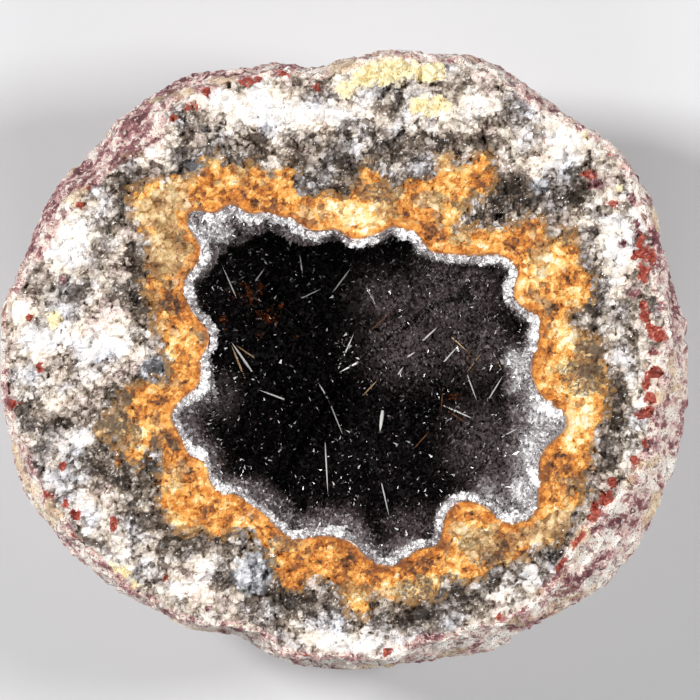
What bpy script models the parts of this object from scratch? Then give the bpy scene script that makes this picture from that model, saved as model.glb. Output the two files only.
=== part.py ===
"""Half of a quartz geode with goethite, lying on its back with the cut face up.

The stone is one solid: a lumpy nodule, cut flat across the top, worn flat where it rests, and hollowed by
a scalloped bowl. The bowl is lined by a second solid, a crust of quartz crystals with needles of goethite
standing in it. The origin is on the resting surface under the middle of the stone, +Z is up, and the units
are metres. Outlines are given in millimetres as seen from above.
"""
import math
import random

import bmesh
import bpy
from mathutils import Matrix, Vector, noise
from mathutils.bvhtree import BVHTree

MM = 0.001

# The stone
LENGTH = 92.0
WIDTH = 83.0
HEIGHT = 43.0
WIDEST_DEPTH = 11.0
BACK_WORN = 1.3
STONE_DETAIL = 5

# The rind's relief
LUMP_SIZE = 17.0
LUMP_HEIGHT = 2.2
SCALE_SIZE = 7.5
SCALE_HEIGHT = 1.5
SCALE_STEPS = 2.5
PIT_SIZE = 11.0
PIT_DEPTH = 2.0
OUTLINE_RELIEF = 0.35
BACK_CALM = 0.8

# The hollow
HOLLOW_MIDDLE = (3.2, -3.0)
HOLLOW_DEPTH = 27.0
HOLLOW_WIDEST_DEPTH = 5.0
HOLLOW_UPPER_REACH = 26.0
HOLLOW_LEAN = (-2.2, 1.6)
HOLLOW_DETAIL = 4
DOME_COUNT = 44
DOME_RADIUS = 6.2
DOME_HEIGHT = 2.3
DOME_FADE_DEPTH = 6.0

# The crust
CRUST_GAP = 0.45
CRUST_BASE = 1.0
CRYSTAL_SHORTEST = 0.9
CRYSTAL_TALLEST = 2.1
CRUST_TOP_DEPTH = 0.05

# The needles
NEEDLE_WIDTH = 0.62
NEEDLE_ROOT = 0.6
NEEDLE_POINT = 0.35

# The stone's widest outline, seen from above, anticlockwise from the right
STONE_OUTLINE = [
    (45.8, 0.0), (45.4, 5.5), (43.4, 9.5), (42.3, 15.5), (41.0, 20.5), (38.6, 24.8), (35.5, 28.2),
    (31.6, 31.4), (27.8, 33.8), (23.4, 36.8), (20.0, 38.7), (15.8, 40.2), (10.5, 40.8), (6.2, 41.6),
    (1.5, 40.5), (-2.5, 39.2), (-5.5, 38.6), (-8.5, 39.6), (-12.5, 38.8), (-17.0, 38.9), (-22.5, 37.0),
    (-27.0, 34.0), (-31.6, 31.0), (-35.2, 26.2), (-37.6, 25.0), (-39.6, 21.6), (-41.4, 17.8),
    (-43.4, 12.6), (-44.6, 9.6), (-46.0, 8.4), (-46.2, 2.0), (-46.0, -4.4), (-45.4, -8.4),
    (-44.2, -12.8), (-42.4, -18.0), (-38.4, -22.8), (-35.4, -27.0), (-31.6, -30.0), (-27.8, -31.9),
    (-24.0, -33.9), (-20.2, -35.9), (-13.8, -37.2), (-10.2, -39.4), (-5.0, -40.8), (0.0, -41.4),
    (6.0, -41.0), (13.6, -40.1), (19.6, -38.6), (24.0, -36.4), (28.4, -33.6), (33.2, -30.6),
    (36.7, -27.2), (39.2, -23.6), (42.2, -18.2), (44.0, -13.8), (45.1, -8.6), (46.0, -2.6),
]

# How far the rind stands outside the cut face, by compass angle in degrees from +X
RIND_SHOWING = [
    (0.0, 4.6), (25.0, 3.0), (45.0, 1.6), (70.0, 0.8), (100.0, 0.8), (125.0, 1.8), (145.0, 2.8),
    (165.0, 1.6), (185.0, 0.9), (215.0, 2.0), (240.0, 2.6), (265.0, 1.6), (290.0, 2.2), (315.0, 4.4),
    (340.0, 5.2),
]

# The hollow's mouth in the cut face, seen from above, anticlockwise from the right
MOUTH_OUTLINE = [
    (24.5, -2.6), (24.9, 0.5), (25.4, 3.2), (25.4, 5.2), (23.6, 6.6), (22.2, 8.2), (22.3, 10.2),
    (22.6, 12.2), (20.8, 13.6), (17.0, 13.8), (13.2, 13.8), (10.6, 14.6), (9.4, 16.4), (6.6, 17.5),
    (4.4, 16.4), (1.8, 15.6), (-0.4, 16.4), (-3.6, 16.8), (-6.0, 17.4), (-7.6, 18.6), (-10.8, 19.4),
    (-15.0, 20.4), (-19.4, 20.0), (-20.6, 18.0), (-18.8, 15.0), (-19.4, 12.6), (-21.0, 10.6),
    (-20.8, 8.0), (-19.2, 5.6), (-17.6, 3.4), (-17.8, 1.2), (-18.8, -0.8), (-18.7, -3.0),
    (-20.2, -5.0), (-22.8, -6.4), (-22.2, -8.6), (-21.0, -11.4), (-19.0, -13.4), (-17.8, -16.0),
    (-15.2, -17.4), (-12.2, -19.0), (-9.8, -21.2), (-7.6, -23.4), (-4.8, -23.4), (-2.4, -23.0),
    (0.2, -23.6), (2.0, -25.8), (4.8, -27.2), (7.4, -26.4), (10.0, -24.8), (12.4, -24.2),
    (12.9, -21.4), (14.0, -18.8), (17.0, -18.5), (19.6, -20.2), (22.0, -21.5), (25.2, -20.6),
    (25.5, -17.0), (25.8, -12.8), (28.0, -10.4), (29.4, -8.4), (26.8, -5.8),
]

# The needles: where each one's point is (x, y and depth under the cut face), the place it grows from as
# seen from above, and how much deeper that place lies
NEEDLES = [
    (-12.4, -1.6, 9.5, -16.0, 2.6, 2.2), (-13.9, -2.6, 9.0, -16.2, 1.0, 1.6), (-11.2, 0.8, 8.0, -15.6, 3.4, 2.4),
    (-1.1, -1.6, 19.0, 1.2, 3.6, 3.4), (-0.9, -2.8, 18.6, 3.4, -0.5, 2.6), (-0.4, -10.1, 19.0, -3.6, -3.0, 3.0),
    (-6.7, -5.9, 16.0, -11.8, -4.0, 2.6), (4.4, 6.8, 16.6, 2.8, 10.0, 2.8), (6.8, 12.0, 10.5, 4.9, 14.8, 2.0),
    (12.6, 4.5, 16.0, 10.4, 2.5, 2.6), (15.2, 1.9, 17.2, 12.8, -0.9, 2.4), (18.3, 1.2, 13.6, 15.8, -1.7, 3.0),
    (17.9, -5.0, 15.0, 16.2, -2.6, 2.8), (13.0, -5.4, 16.4, 13.4, -1.6, 3.2), (17.0, -8.0, 15.0, 13.2, -6.6, 3.4),
    (19.2, -5.8, 13.2, 21.6, -2.4, 2.2), (20.4, -10.8, 8.4, 23.4, -9.0, 2.0), (11.4, -9.8, 17.2, 9.2, -12.0, 2.2),
    (-14.5, 8.0, 12.0, -17.0, 12.6, 2.4), (-5.8, 11.0, 15.6, -6.1, 15.0, 2.4), (-1.6, 9.2, 17.0, 0.8, 12.4, 2.6),
    (-12.4, 10.4, 11.6, -10.8, 13.6, 2.2), (-2.8, -12.0, 14.5, -2.2, -18.8, 2.4), (4.6, -10.2, 20.2, 5.2, -6.7, 3.0),
]


def clear_scene():
    """Start from an empty scene."""
    for item in list(bpy.data.objects):
        bpy.data.objects.remove(item)


def finish(name, mesh, colour, roughness):
    """Put a finished mesh in the scene with a material of its own."""
    material = bpy.data.materials.new(name)
    material.use_nodes = True
    shader = material.node_tree.nodes["Principled BSDF"]
    shader.inputs["Base Color"].default_value = (*colour, 1.0)
    shader.inputs["Roughness"].default_value = roughness
    shader.inputs["Metallic"].default_value = 0.0
    mesh.materials.append(material)
    item = bpy.data.objects.new(name, mesh)
    bpy.context.scene.collection.objects.link(item)
    return item


def smooth_step(value):
    """Ease from 0 to 1 as value goes from 0 to 1."""
    value = min(max(value, 0.0), 1.0)
    return value * value * (3.0 - 2.0 * value)


def around(stations, angle):
    """Read a closed list of (angle, value) stations at an angle, with a smooth curve through them."""
    turn = 2.0 * math.pi
    count = len(stations)
    angle = (angle - stations[0][0]) % turn + stations[0][0]
    index = max(i for i in range(count) if stations[i][0] <= angle + 1e-9)
    here = stations[index]
    ahead = stations[(index + 1) % count]
    span = (ahead[0] - here[0]) % turn
    along = (angle - here[0]) / span
    before = stations[index - 1][1]
    beyond = stations[(index + 2) % count][1]
    slope_here = (ahead[1] - before) * 0.5
    slope_ahead = (beyond - here[1]) * 0.5
    square = along * along
    cube = square * along
    return (here[1] * (2.0 * cube - 3.0 * square + 1.0) + slope_here * (cube - 2.0 * square + along)
            + ahead[1] * (3.0 * square - 2.0 * cube) + slope_ahead * (cube - square))


def stations_of(outline, middle):
    """Turn an outline's points into (angle, distance) stations about a middle point."""
    turn = 2.0 * math.pi
    stations = []
    for x, y in outline:
        across = x - middle[0]
        up = y - middle[1]
        stations.append((math.atan2(up, across) % turn, math.hypot(across, up)))
    return sorted(stations)


STONE_STATIONS = stations_of(STONE_OUTLINE, (0.0, 0.0))
RIND_STATIONS = [(math.radians(angle), showing) for angle, showing in RIND_SHOWING]
MOUTH_STATIONS = stations_of(MOUTH_OUTLINE, HOLLOW_MIDDLE)


def rind_relief(place):
    """How far the rind stands out or in at a place: rounded lumps, stepped scales and a few pits."""
    lumps = noise.noise(place / LUMP_SIZE) * LUMP_HEIGHT
    scale = noise.noise(place / SCALE_SIZE + Vector((5.0, 2.0, 8.0)))
    stepped = (math.floor(scale * SCALE_STEPS) + smooth_step(scale * SCALE_STEPS % 1.0 * 3.0)) / SCALE_STEPS
    pit = smooth_step(noise.noise(place / PIT_SIZE + Vector((9.0, 4.0, 1.0))) * 3.0 - 0.6)
    return lumps + stepped * SCALE_HEIGHT - pit * PIT_DEPTH


def stone_point(direction):
    """The stone's skin in a direction from its middle, calmest at its widest level and where it rests."""
    angle = math.atan2(direction.y, direction.x)
    level = math.hypot(direction.x, direction.y)
    reach = around(STONE_STATIONS, angle)
    if direction.z > 0.0:
        cut_share = 1.0 - around(RIND_STATIONS, angle) / reach
        tall = WIDEST_DEPTH / math.sqrt(1.0 - cut_share * cut_share)
        out = reach * level
        rise = tall * direction.z
    else:
        out = reach * level ** 0.86
        rise = (HEIGHT - WIDEST_DEPTH + BACK_WORN) * direction.z
    skin = Vector((out * math.cos(angle), out * math.sin(angle), HEIGHT - WIDEST_DEPTH + rise))
    share = OUTLINE_RELIEF + (1.0 - OUTLINE_RELIEF) * smooth_step(abs(direction.z) * 2.5)
    share *= 1.0 - BACK_CALM * smooth_step((-direction.z - 0.78) * 5.0)
    return skin + direction * rind_relief(skin) * share


def scattered(radius_share, seed, count):
    """Small offsets that take the evenness out of a ball's points."""
    rng = random.Random(seed)
    return [Vector([rng.uniform(-radius_share, radius_share) for _ in range(3)]) for _ in range(count)]


def add_ball(bm, detail, loosen, seed):
    """A unit ball of triangles with its points loosened, added to a mesh."""
    ball = bmesh.ops.create_icosphere(bm, subdivisions=detail, radius=1.0)["verts"]
    for vert, offset in zip(ball, scattered(loosen, seed, len(ball))):
        vert.co = (vert.co + offset).normalized()
    return ball


def dome_middles():
    """Directions of the rounded domes that swell into the hollow, spread evenly and then loosened."""
    rng = random.Random(12)
    golden = math.pi * (3.0 - math.sqrt(5.0))
    middles = []
    for index in range(DOME_COUNT):
        up = 1.0 - 2.0 * (index + 0.5) / DOME_COUNT
        ring = math.sqrt(1.0 - up * up)
        loosened = Vector((ring * math.cos(golden * index), ring * math.sin(golden * index), up))
        loosened += Vector([rng.uniform(-0.12, 0.12) for _ in range(3)])
        middles.append(loosened.normalized())
    return middles


DOME_MIDDLES = dome_middles()
HOLLOW_CENTRE = Vector((*HOLLOW_MIDDLE, HEIGHT - HOLLOW_WIDEST_DEPTH))
SMOOTHING_ANGLES = [math.radians(offset) for offset in (-36, -24, -12, 0, 12, 24, 36)]


def hollow_point(direction, inward):
    """The hollow's wall in a direction from its centre, moved towards the centre by a distance."""
    angle = math.atan2(direction.y, direction.x)
    level = math.hypot(direction.x, direction.y)
    mouth = around(MOUTH_STATIONS, angle)
    rounded = sum(around(MOUTH_STATIONS, angle + offset) for offset in SMOOTHING_ANGLES)
    rounded /= len(SMOOTHING_ANGLES)
    if direction.z > 0.0:
        tall = HOLLOW_UPPER_REACH
        deep = 0.0
    else:
        tall = HOLLOW_DEPTH - HOLLOW_WIDEST_DEPTH
        deep = -direction.z
    fade = smooth_step(deep * tall / DOME_FADE_DEPTH)
    out = (mouth * (1.0 - fade) + rounded * fade) * level ** 0.9
    wall = Vector((out * math.cos(angle), out * math.sin(angle), tall * direction.z))
    wall += Vector((*HOLLOW_LEAN, 0.0)) * deep * deep
    distance = wall.length
    nearest = min((direction - middle).length for middle in DOME_MIDDLES) * distance
    dome = math.sqrt(max(0.0, 1.0 - (nearest / DOME_RADIUS) ** 2)) * DOME_HEIGHT * fade
    return HOLLOW_CENTRE + wall * (1.0 - (dome + inward) / distance)


def cut_flat(bm, height, keep_below):
    """Cut a mesh level at a height, drop one side, and close the cut with a flat face."""
    everything = bm.verts[:] + bm.edges[:] + bm.faces[:]
    cut = bmesh.ops.bisect_plane(bm, geom=everything, dist=1e-5, plane_co=(0.0, 0.0, height),
                                 plane_no=(0.0, 0.0, 1.0), clear_outer=keep_below,
                                 clear_inner=not keep_below)["geom_cut"]
    edges = [part for part in cut if isinstance(part, bmesh.types.BMEdge)]
    bmesh.ops.triangle_fill(bm, edges=edges, use_beauty=True, use_dissolve=False)


def to_mesh(bm, name):
    """Close off the work on a mesh: faces outward, millimetres to metres."""
    bmesh.ops.recalc_face_normals(bm, faces=bm.faces[:])
    bmesh.ops.scale(bm, verts=bm.verts[:], vec=(MM, MM, MM))
    mesh = bpy.data.meshes.new(name)
    bm.to_mesh(mesh)
    bm.free()
    return mesh


def make_shell():
    """The rock: a lumpy nodule cut flat on top, worn flat below, with the hollow in it."""
    bm = bmesh.new()
    skin = add_ball(bm, STONE_DETAIL, 0.012, 3)
    for vert in skin:
        vert.co = stone_point(vert.co)
    low = Vector([min(vert.co[axis] for vert in skin) for axis in range(3)])
    high = Vector([max(vert.co[axis] for vert in skin) for axis in range(3)])
    middle = (low + high) / 2.0
    fit = Matrix.Diagonal((LENGTH / (high.x - low.x), WIDTH / (high.y - low.y), 1.0))
    for vert in skin:
        vert.co = fit @ (vert.co - Vector((middle.x, middle.y, 0.0)))
    wall = add_ball(bm, HOLLOW_DETAIL, 0.02, 7)
    for vert in wall:
        vert.co = hollow_point(vert.co, 0.0)
    cut_flat(bm, HEIGHT, True)
    cut_flat(bm, 0.0, False)
    return finish("geode_shell", to_mesh(bm, "geode_shell"), (0.52, 0.44, 0.38), 0.75)


def make_crust():
    """The lining: a bowl whose inner side is a druse of six-sided quartz points."""
    bm = bmesh.new()
    outside = add_ball(bm, HOLLOW_DETAIL, 0.02, 7)
    for vert in outside:
        vert.co = hollow_point(vert.co, CRUST_GAP)
    tips = add_ball(bm, HOLLOW_DETAIL, 0.02, 19)
    facets = list({face for tip in tips for face in tip.link_faces})
    between = list({edge for tip in tips for edge in tip.link_edges})
    corners = bmesh.ops.poke(bm, faces=facets)["verts"]
    bmesh.ops.rotate_edges(bm, edges=between)
    rng = random.Random(23)
    for corner in corners:
        corner.co = hollow_point(corner.co.normalized(), CRUST_GAP + CRUST_BASE)
    for tip in tips:
        height = rng.uniform(CRYSTAL_SHORTEST, CRYSTAL_TALLEST)
        tip.co = hollow_point(tip.co, CRUST_GAP + CRUST_BASE + height)
    cut_flat(bm, HEIGHT - CRUST_TOP_DEPTH, True)
    return finish("crystal_crust", to_mesh(bm, "crystal_crust"), (0.09, 0.07, 0.08), 0.2)


def add_needle(bm, druse, needle):
    """One four-sided needle with its foot sunk in the druse and a sharp point."""
    x_point, y_point, depth, x_from, y_from, drop = needle
    point = Vector((x_point, y_point, HEIGHT - depth))
    along = (point - Vector((x_from, y_from, HEIGHT - depth - drop))).normalized()
    landing = druse.ray_cast(point * MM, -along)[0] / MM
    foot = landing - along * NEEDLE_ROOT
    length = (point - foot).length
    shaft = bmesh.ops.create_cone(bm, segments=4, cap_ends=True, radius1=NEEDLE_WIDTH / 2.0,
                                  radius2=NEEDLE_WIDTH * NEEDLE_POINT / 2.0, depth=length)["verts"]
    turn = along.to_track_quat("Z", "Y").to_matrix().to_4x4()
    bmesh.ops.transform(bm, matrix=Matrix.Translation((foot + point) / 2.0) @ turn, verts=shaft)


def add_needles(crust):
    """Fuse the goethite needles to the crust that they grow from."""
    druse = BVHTree.FromPolygons([vert.co for vert in crust.data.vertices],
                                 [face.vertices[:] for face in crust.data.polygons])
    bm = bmesh.new()
    for needle in NEEDLES:
        add_needle(bm, druse, needle)
    needles = finish("needles", to_mesh(bm, "needles"), (0.30, 0.20, 0.12), 0.3)
    needles.hide_render = True
    needles.display_type = "WIRE"
    fuse = crust.modifiers.new("fuse needles", "BOOLEAN")
    fuse.operation = "UNION"
    fuse.solver = "EXACT"
    fuse.object = needles


clear_scene()
make_shell()
add_needles(make_crust())
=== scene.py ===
import math

import bpy
import numpy as np
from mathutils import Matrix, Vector, noise
from mathutils.bvhtree import BVHTree
from mathutils.kdtree import KDTree


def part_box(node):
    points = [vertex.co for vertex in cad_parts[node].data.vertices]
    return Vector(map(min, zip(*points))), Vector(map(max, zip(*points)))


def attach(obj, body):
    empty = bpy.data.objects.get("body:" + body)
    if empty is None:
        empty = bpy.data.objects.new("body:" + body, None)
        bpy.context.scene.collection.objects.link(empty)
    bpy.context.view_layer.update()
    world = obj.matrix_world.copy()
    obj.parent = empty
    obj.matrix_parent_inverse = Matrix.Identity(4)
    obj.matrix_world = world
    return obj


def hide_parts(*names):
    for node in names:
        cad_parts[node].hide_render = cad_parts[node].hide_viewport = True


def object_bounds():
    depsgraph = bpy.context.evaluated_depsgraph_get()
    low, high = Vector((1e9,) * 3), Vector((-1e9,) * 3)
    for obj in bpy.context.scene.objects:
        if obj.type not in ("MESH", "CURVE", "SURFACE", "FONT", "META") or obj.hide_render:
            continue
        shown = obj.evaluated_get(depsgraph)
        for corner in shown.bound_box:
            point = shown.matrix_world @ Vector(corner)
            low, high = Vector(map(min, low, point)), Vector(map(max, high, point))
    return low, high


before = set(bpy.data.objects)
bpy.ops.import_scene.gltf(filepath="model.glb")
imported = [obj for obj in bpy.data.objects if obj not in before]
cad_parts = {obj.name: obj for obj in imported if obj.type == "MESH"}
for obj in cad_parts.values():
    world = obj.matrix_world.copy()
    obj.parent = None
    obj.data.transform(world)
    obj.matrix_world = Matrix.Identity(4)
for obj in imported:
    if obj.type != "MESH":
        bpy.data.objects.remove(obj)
cad_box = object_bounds()

# The hollow. It is the mould of everything else: the rock has it as a hole and the crystals line it.
# Its mouth is scalloped, its left and top walls are steep, and its right and lower walls slope in.
MM = 0.001
CUT_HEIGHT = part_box("geode_shell")[1].z
HOLLOW_MIDDLE = np.array((3.2, -3.0))
HOLLOW_DEPTH = 26.0
HOLLOW_LEAN = np.array((-2.0, 1.5))
SLOPE_TOWARDS = math.radians(-38.0)
WALL_CURVE = 0.80
WALL_SLOPE = 0.28
WALL_BULGE = 0.05
LOBES_FADE = 8.0
MOUTH = [
    (-18.8, 14.7), (-19.3, 16.0), (-20.1, 17.1), (-20.9, 17.9), (-21.1, 18.8), (-20.7, 19.7), (-19.7, 19.9),
    (-18.7, 19.5), (-17.6, 19.2), (-16.7, 19.5), (-15.9, 20.3), (-15.3, 20.8), (-14.5, 20.3), (-13.9, 19.6),
    (-12.7, 19.2), (-11.1, 19.2), (-10.0, 19.3), (-8.7, 18.8), (-7.1, 18.7), (-6.3, 18.1), (-5.7, 17.2),
    (-4.4, 16.8), (-3.1, 16.7), (-2.0, 17.2), (-0.9, 17.2), (-0.3, 16.3), (0.4, 15.7), (1.7, 15.6),
    (3.1, 16.0), (4.1, 16.3), (5.2, 16.9), (6.1, 17.6), (6.7, 17.7), (7.3, 17.2), (8.4, 17.1), (9.3, 16.7),
    (10.0, 15.6), (10.7, 14.5), (11.6, 14.0), (13.3, 13.9), (15.3, 13.7), (17.3, 13.6), (18.9, 13.9),
    (20.4, 13.7), (21.6, 13.2), (22.5, 12.5), (22.8, 11.6), (22.4, 10.5), (22.1, 9.5), (22.1, 8.4),
    (22.7, 7.5), (23.7, 6.7), (24.9, 6.1), (25.6, 5.3), (25.6, 4.0), (25.3, 2.0), (24.8, 0.3), (24.4, -1.1),
    (24.7, -2.7), (25.3, -4.0), (26.0, -5.2), (27.1, -5.9), (28.1, -6.5), (29.1, -7.3), (29.7, -8.4),
    (29.1, -9.3), (28.0, -10.3), (26.8, -11.3), (26.0, -12.3), (25.6, -13.7), (25.5, -15.7), (25.5, -17.6),
    (25.6, -19.3), (25.1, -20.5), (23.9, -21.2), (22.5, -21.6), (21.6, -21.5), (20.5, -20.9), (19.7, -20.0),
    (18.8, -19.2), (17.7, -18.7), (16.4, -18.4), (14.9, -18.5), (13.9, -19.1), (13.2, -20.1), (12.8, -21.5),
    (12.7, -22.9), (12.4, -24.4), (11.5, -24.8), (10.3, -24.8), (9.2, -25.3), (8.0, -26.0), (7.1, -26.7),
    (6.3, -27.5), (5.2, -27.3), (4.1, -26.8), (3.2, -26.3), (2.3, -25.6), (1.7, -24.5), (0.9, -23.9),
    (-0.3, -23.7), (-1.5, -23.3), (-2.8, -23.1), (-4.0, -23.1), (-5.1, -23.5), (-6.3, -23.6), (-7.3, -23.5),
    (-8.3, -22.8), (-9.1, -22.0), (-9.7, -21.1), (-10.5, -20.1), (-11.6, -19.5), (-12.8, -18.7),
    (-14.0, -17.9), (-15.1, -17.5), (-16.4, -17.3), (-17.5, -16.7), (-17.9, -15.6), (-18.0, -14.4),
    (-18.5, -13.2), (-19.9, -12.7), (-20.9, -12.3), (-21.1, -11.2), (-21.7, -9.9), (-22.4, -8.7),
    (-23.1, -7.7), (-22.5, -6.4), (-21.7, -5.6), (-20.7, -4.9), (-19.6, -4.1), (-18.9, -3.2), (-18.7, -2.0),
    (-18.9, -0.8), (-18.9, 0.3), (-18.4, 0.9), (-17.7, 1.7), (-17.5, 2.8), (-17.7, 4.0), (-18.5, 4.9),
    (-19.5, 5.7), (-20.0, 6.5), (-20.7, 7.6), (-21.1, 8.7), (-21.2, 9.6), (-21.1, 10.7), (-20.7, 11.3),
    (-19.6, 12.3), (-18.9, 13.6),
]


def closed_line(points, count):
    """Points evenly spaced round a closed line through given points, in mm."""
    points = np.array(points, float)
    ends = np.roll(points, -1, axis=0)
    lengths = np.hypot(*(ends - points).T)
    starts = np.concatenate(([0.0], np.cumsum(lengths)))
    places = np.linspace(0.0, starts[-1], count, endpoint=False)
    index = np.searchsorted(starts, places, side="right") - 1
    share = ((places - starts[index]) / lengths[index])[:, None]
    return points[index] * (1.0 - share) + ends[index] * share


def softened(line, reach):
    """A closed line with each point moved to the mean of its neighbours within reach points."""
    total = sum(np.roll(line, step, axis=0) for step in range(-reach, reach + 1))
    return total / (2 * reach + 1)


def ease(value):
    """0 to 1 with a soft start and end."""
    value = np.clip(value, 0.0, 1.0)
    return value * value * (3.0 - 2.0 * value)


def hollow_rings(around, levels):
    """The hollow's wall as rings of points from the mouth down to the floor, in mm under the cut face."""
    mouth = softened(closed_line(MOUTH, around), 1)
    calm = softened(mouth, around // 9)
    rings = []
    for level in range(levels):
        turn = math.pi / 2.0 * (1.0 - (1.0 - level / levels) ** 2)
        depth = HOLLOW_DEPTH * math.sin(turn)
        base = mouth + (calm - mouth) * ease(depth / LOBES_FADE)
        out = base - HOLLOW_MIDDLE
        facing = np.cos(np.arctan2(out[:, 1], out[:, 0]) - SLOPE_TOWARDS)
        spread = math.cos(turn) ** (WALL_CURVE + WALL_SLOPE * facing)
        spread += WALL_BULGE * math.sin(2.0 * turn) * (1.0 - facing)
        ring = HOLLOW_MIDDLE + HOLLOW_LEAN * (depth / HOLLOW_DEPTH) ** 2 + out * spread[:, None]
        rings.append(np.column_stack((ring, np.full(around, -depth))))
    return np.array(rings)


def surface_normals(points, faces):
    """Unit normals of a mesh's points, from its four-cornered faces."""
    across = points[faces[:, 2]] - points[faces[:, 0]]
    along = points[faces[:, 3]] - points[faces[:, 1]]
    facing = np.cross(across, along)
    normals = np.zeros_like(points)
    for corner in range(4):
        np.add.at(normals, faces[:, corner], facing)
    return normals / np.linalg.norm(normals, axis=1)[:, None]


def ring_faces(around, levels):
    """Four-cornered faces between rings, each facing the hollow."""
    here = np.arange(around * (levels - 1)).reshape(levels - 1, around)
    beside = np.roll(here, -1, axis=1)
    return np.stack((here, here + around, beside + around, beside), axis=-1).reshape(-1, 4)


DOMES = 90
DOME_RADIUS = 5.2
DOME_HEIGHT = 1.6
DOME_FADE = 4.0


def domed(points, normals):
    """The wall swollen into rounded domes that meet in creases, fading out towards the mouth."""
    rng = np.random.default_rng(5)
    middles = points[rng.choice(len(points), DOMES, replace=False)]
    nearest = np.full(len(points), DOME_RADIUS)
    for middle in middles:
        nearest = np.minimum(nearest, np.linalg.norm(points - middle, axis=1))
    swell = np.sqrt(1.0 - (nearest / DOME_RADIUS) ** 2) * DOME_HEIGHT
    return points + normals * (swell * ease(-points[:, 2] / DOME_FADE))[:, None]


WALL_AROUND = 400
WALL_LEVELS = 80
wall_faces = ring_faces(WALL_AROUND, WALL_LEVELS)
wall = hollow_rings(WALL_AROUND, WALL_LEVELS).reshape(-1, 3)
wall_normals = surface_normals(wall, wall_faces)
wall = domed(wall, wall_normals)
wall_normals = surface_normals(wall, wall_faces)


def new_mesh_object(name, points, faces):
    """A mesh object at the origin from points in mm above or below the cut face."""
    mesh = bpy.data.meshes.new(name)
    places = np.array(points) * MM + (0.0, 0.0, CUT_HEIGHT)
    mesh.from_pydata(places.tolist(), [], [list(map(int, face)) for face in faces])
    made = bpy.data.objects.new(name, mesh)
    bpy.context.scene.collection.objects.link(made)
    return made


def choose(item):
    """Make an object the only one selected, and the active one."""
    bpy.ops.object.select_all(action="DESELECT")
    item.select_set(True)
    bpy.context.view_layer.objects.active = item


def apply_modifier(item, kind, **settings):
    """Add a modifier with its settings and apply it."""
    choose(item)
    modifier = item.modifiers.new(kind, kind)
    for name, value in settings.items():
        setattr(modifier, name, value)
    bpy.ops.object.modifier_apply(modifier=modifier.name)


def face_outward(item):
    """Turn all the faces of a closed mesh object outwards."""
    choose(item)
    bpy.ops.object.mode_set(mode="EDIT")
    bpy.ops.mesh.select_all(action="SELECT")
    bpy.ops.mesh.normals_make_consistent(inside=False)
    bpy.ops.object.mode_set(mode="OBJECT")


# The rock: one lump of pale quartz round a goethite band, in a worn mauve rind, sawn flat across the
# top and left unpolished, so the sawn quartz is a mosaic of broken grains with sunk gaps between them,
# whose shade is also painted into the colour.
# It starts from the CAD stone's own skin, and the hollow is cut out of it.
ROCK_VOXEL = 0.8
SOLID_HOLLOW_REACH = 34.5
SOLID_HOLLOW_FLOOR = 14.0
CUTTER_AROUND = 200
CUTTER_LEVELS = 36
CUTTER_LID = 3.0
FACE_LAYER = 0.35
FACE_END = 0.5
FACE_FADE = 0.3
FACE_CUTS = 2
GRAIN_SIZES = [(2600, 0.30, 0.42), (15000, 0.42, 0.16)]
GRAIN_FIELD = np.array((48.0, 43.5))
COARSE_GAP = 0.35
SMALL_GAP = 0.2
SMALL_GAP_SHARE = 0.6
GAP_DEPTH = 0.14
QUARTZ_SUNK = 0.34
BAND_SUNK = 0.30
BAND_COARSE = 0.3
BAND_SMALL = 0.75
BAND_FADE = 0.8
LIP_SUNK = 0.12
LIP_EDGE = 0.1
LIP_FADE = 0.8
LEAST_SUNK = 0.02
RIND_LUMPS = [(0.20, 1.3), (0.55, 0.85)]
RIND_NOISE = (0.8, 2.2, 4)
RIND_SWELL = 0.55
RIND_FOOT = 0.8
RIND_FADE = 3.0
LIP_KEPT = 1.5
BOX_MARGIN = 0.05
PLACE_SHARE = 0.3
GRAIN_SHARE = 0.7
# how rosy the rind is at each direction round the stone, in degrees
ROSY_RIND = [
    (-180, -0.5), (-150, 0.1), (-120, -0.4), (-70, -0.3), (-45, -0.5), (-20, 0.2), (15, 0.6), (40, 0.1),
    (70, -0.6), (105, -0.1), (120, 0.9), (150, 1.0), (168, 0.2), (180, -0.5),
]
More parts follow.
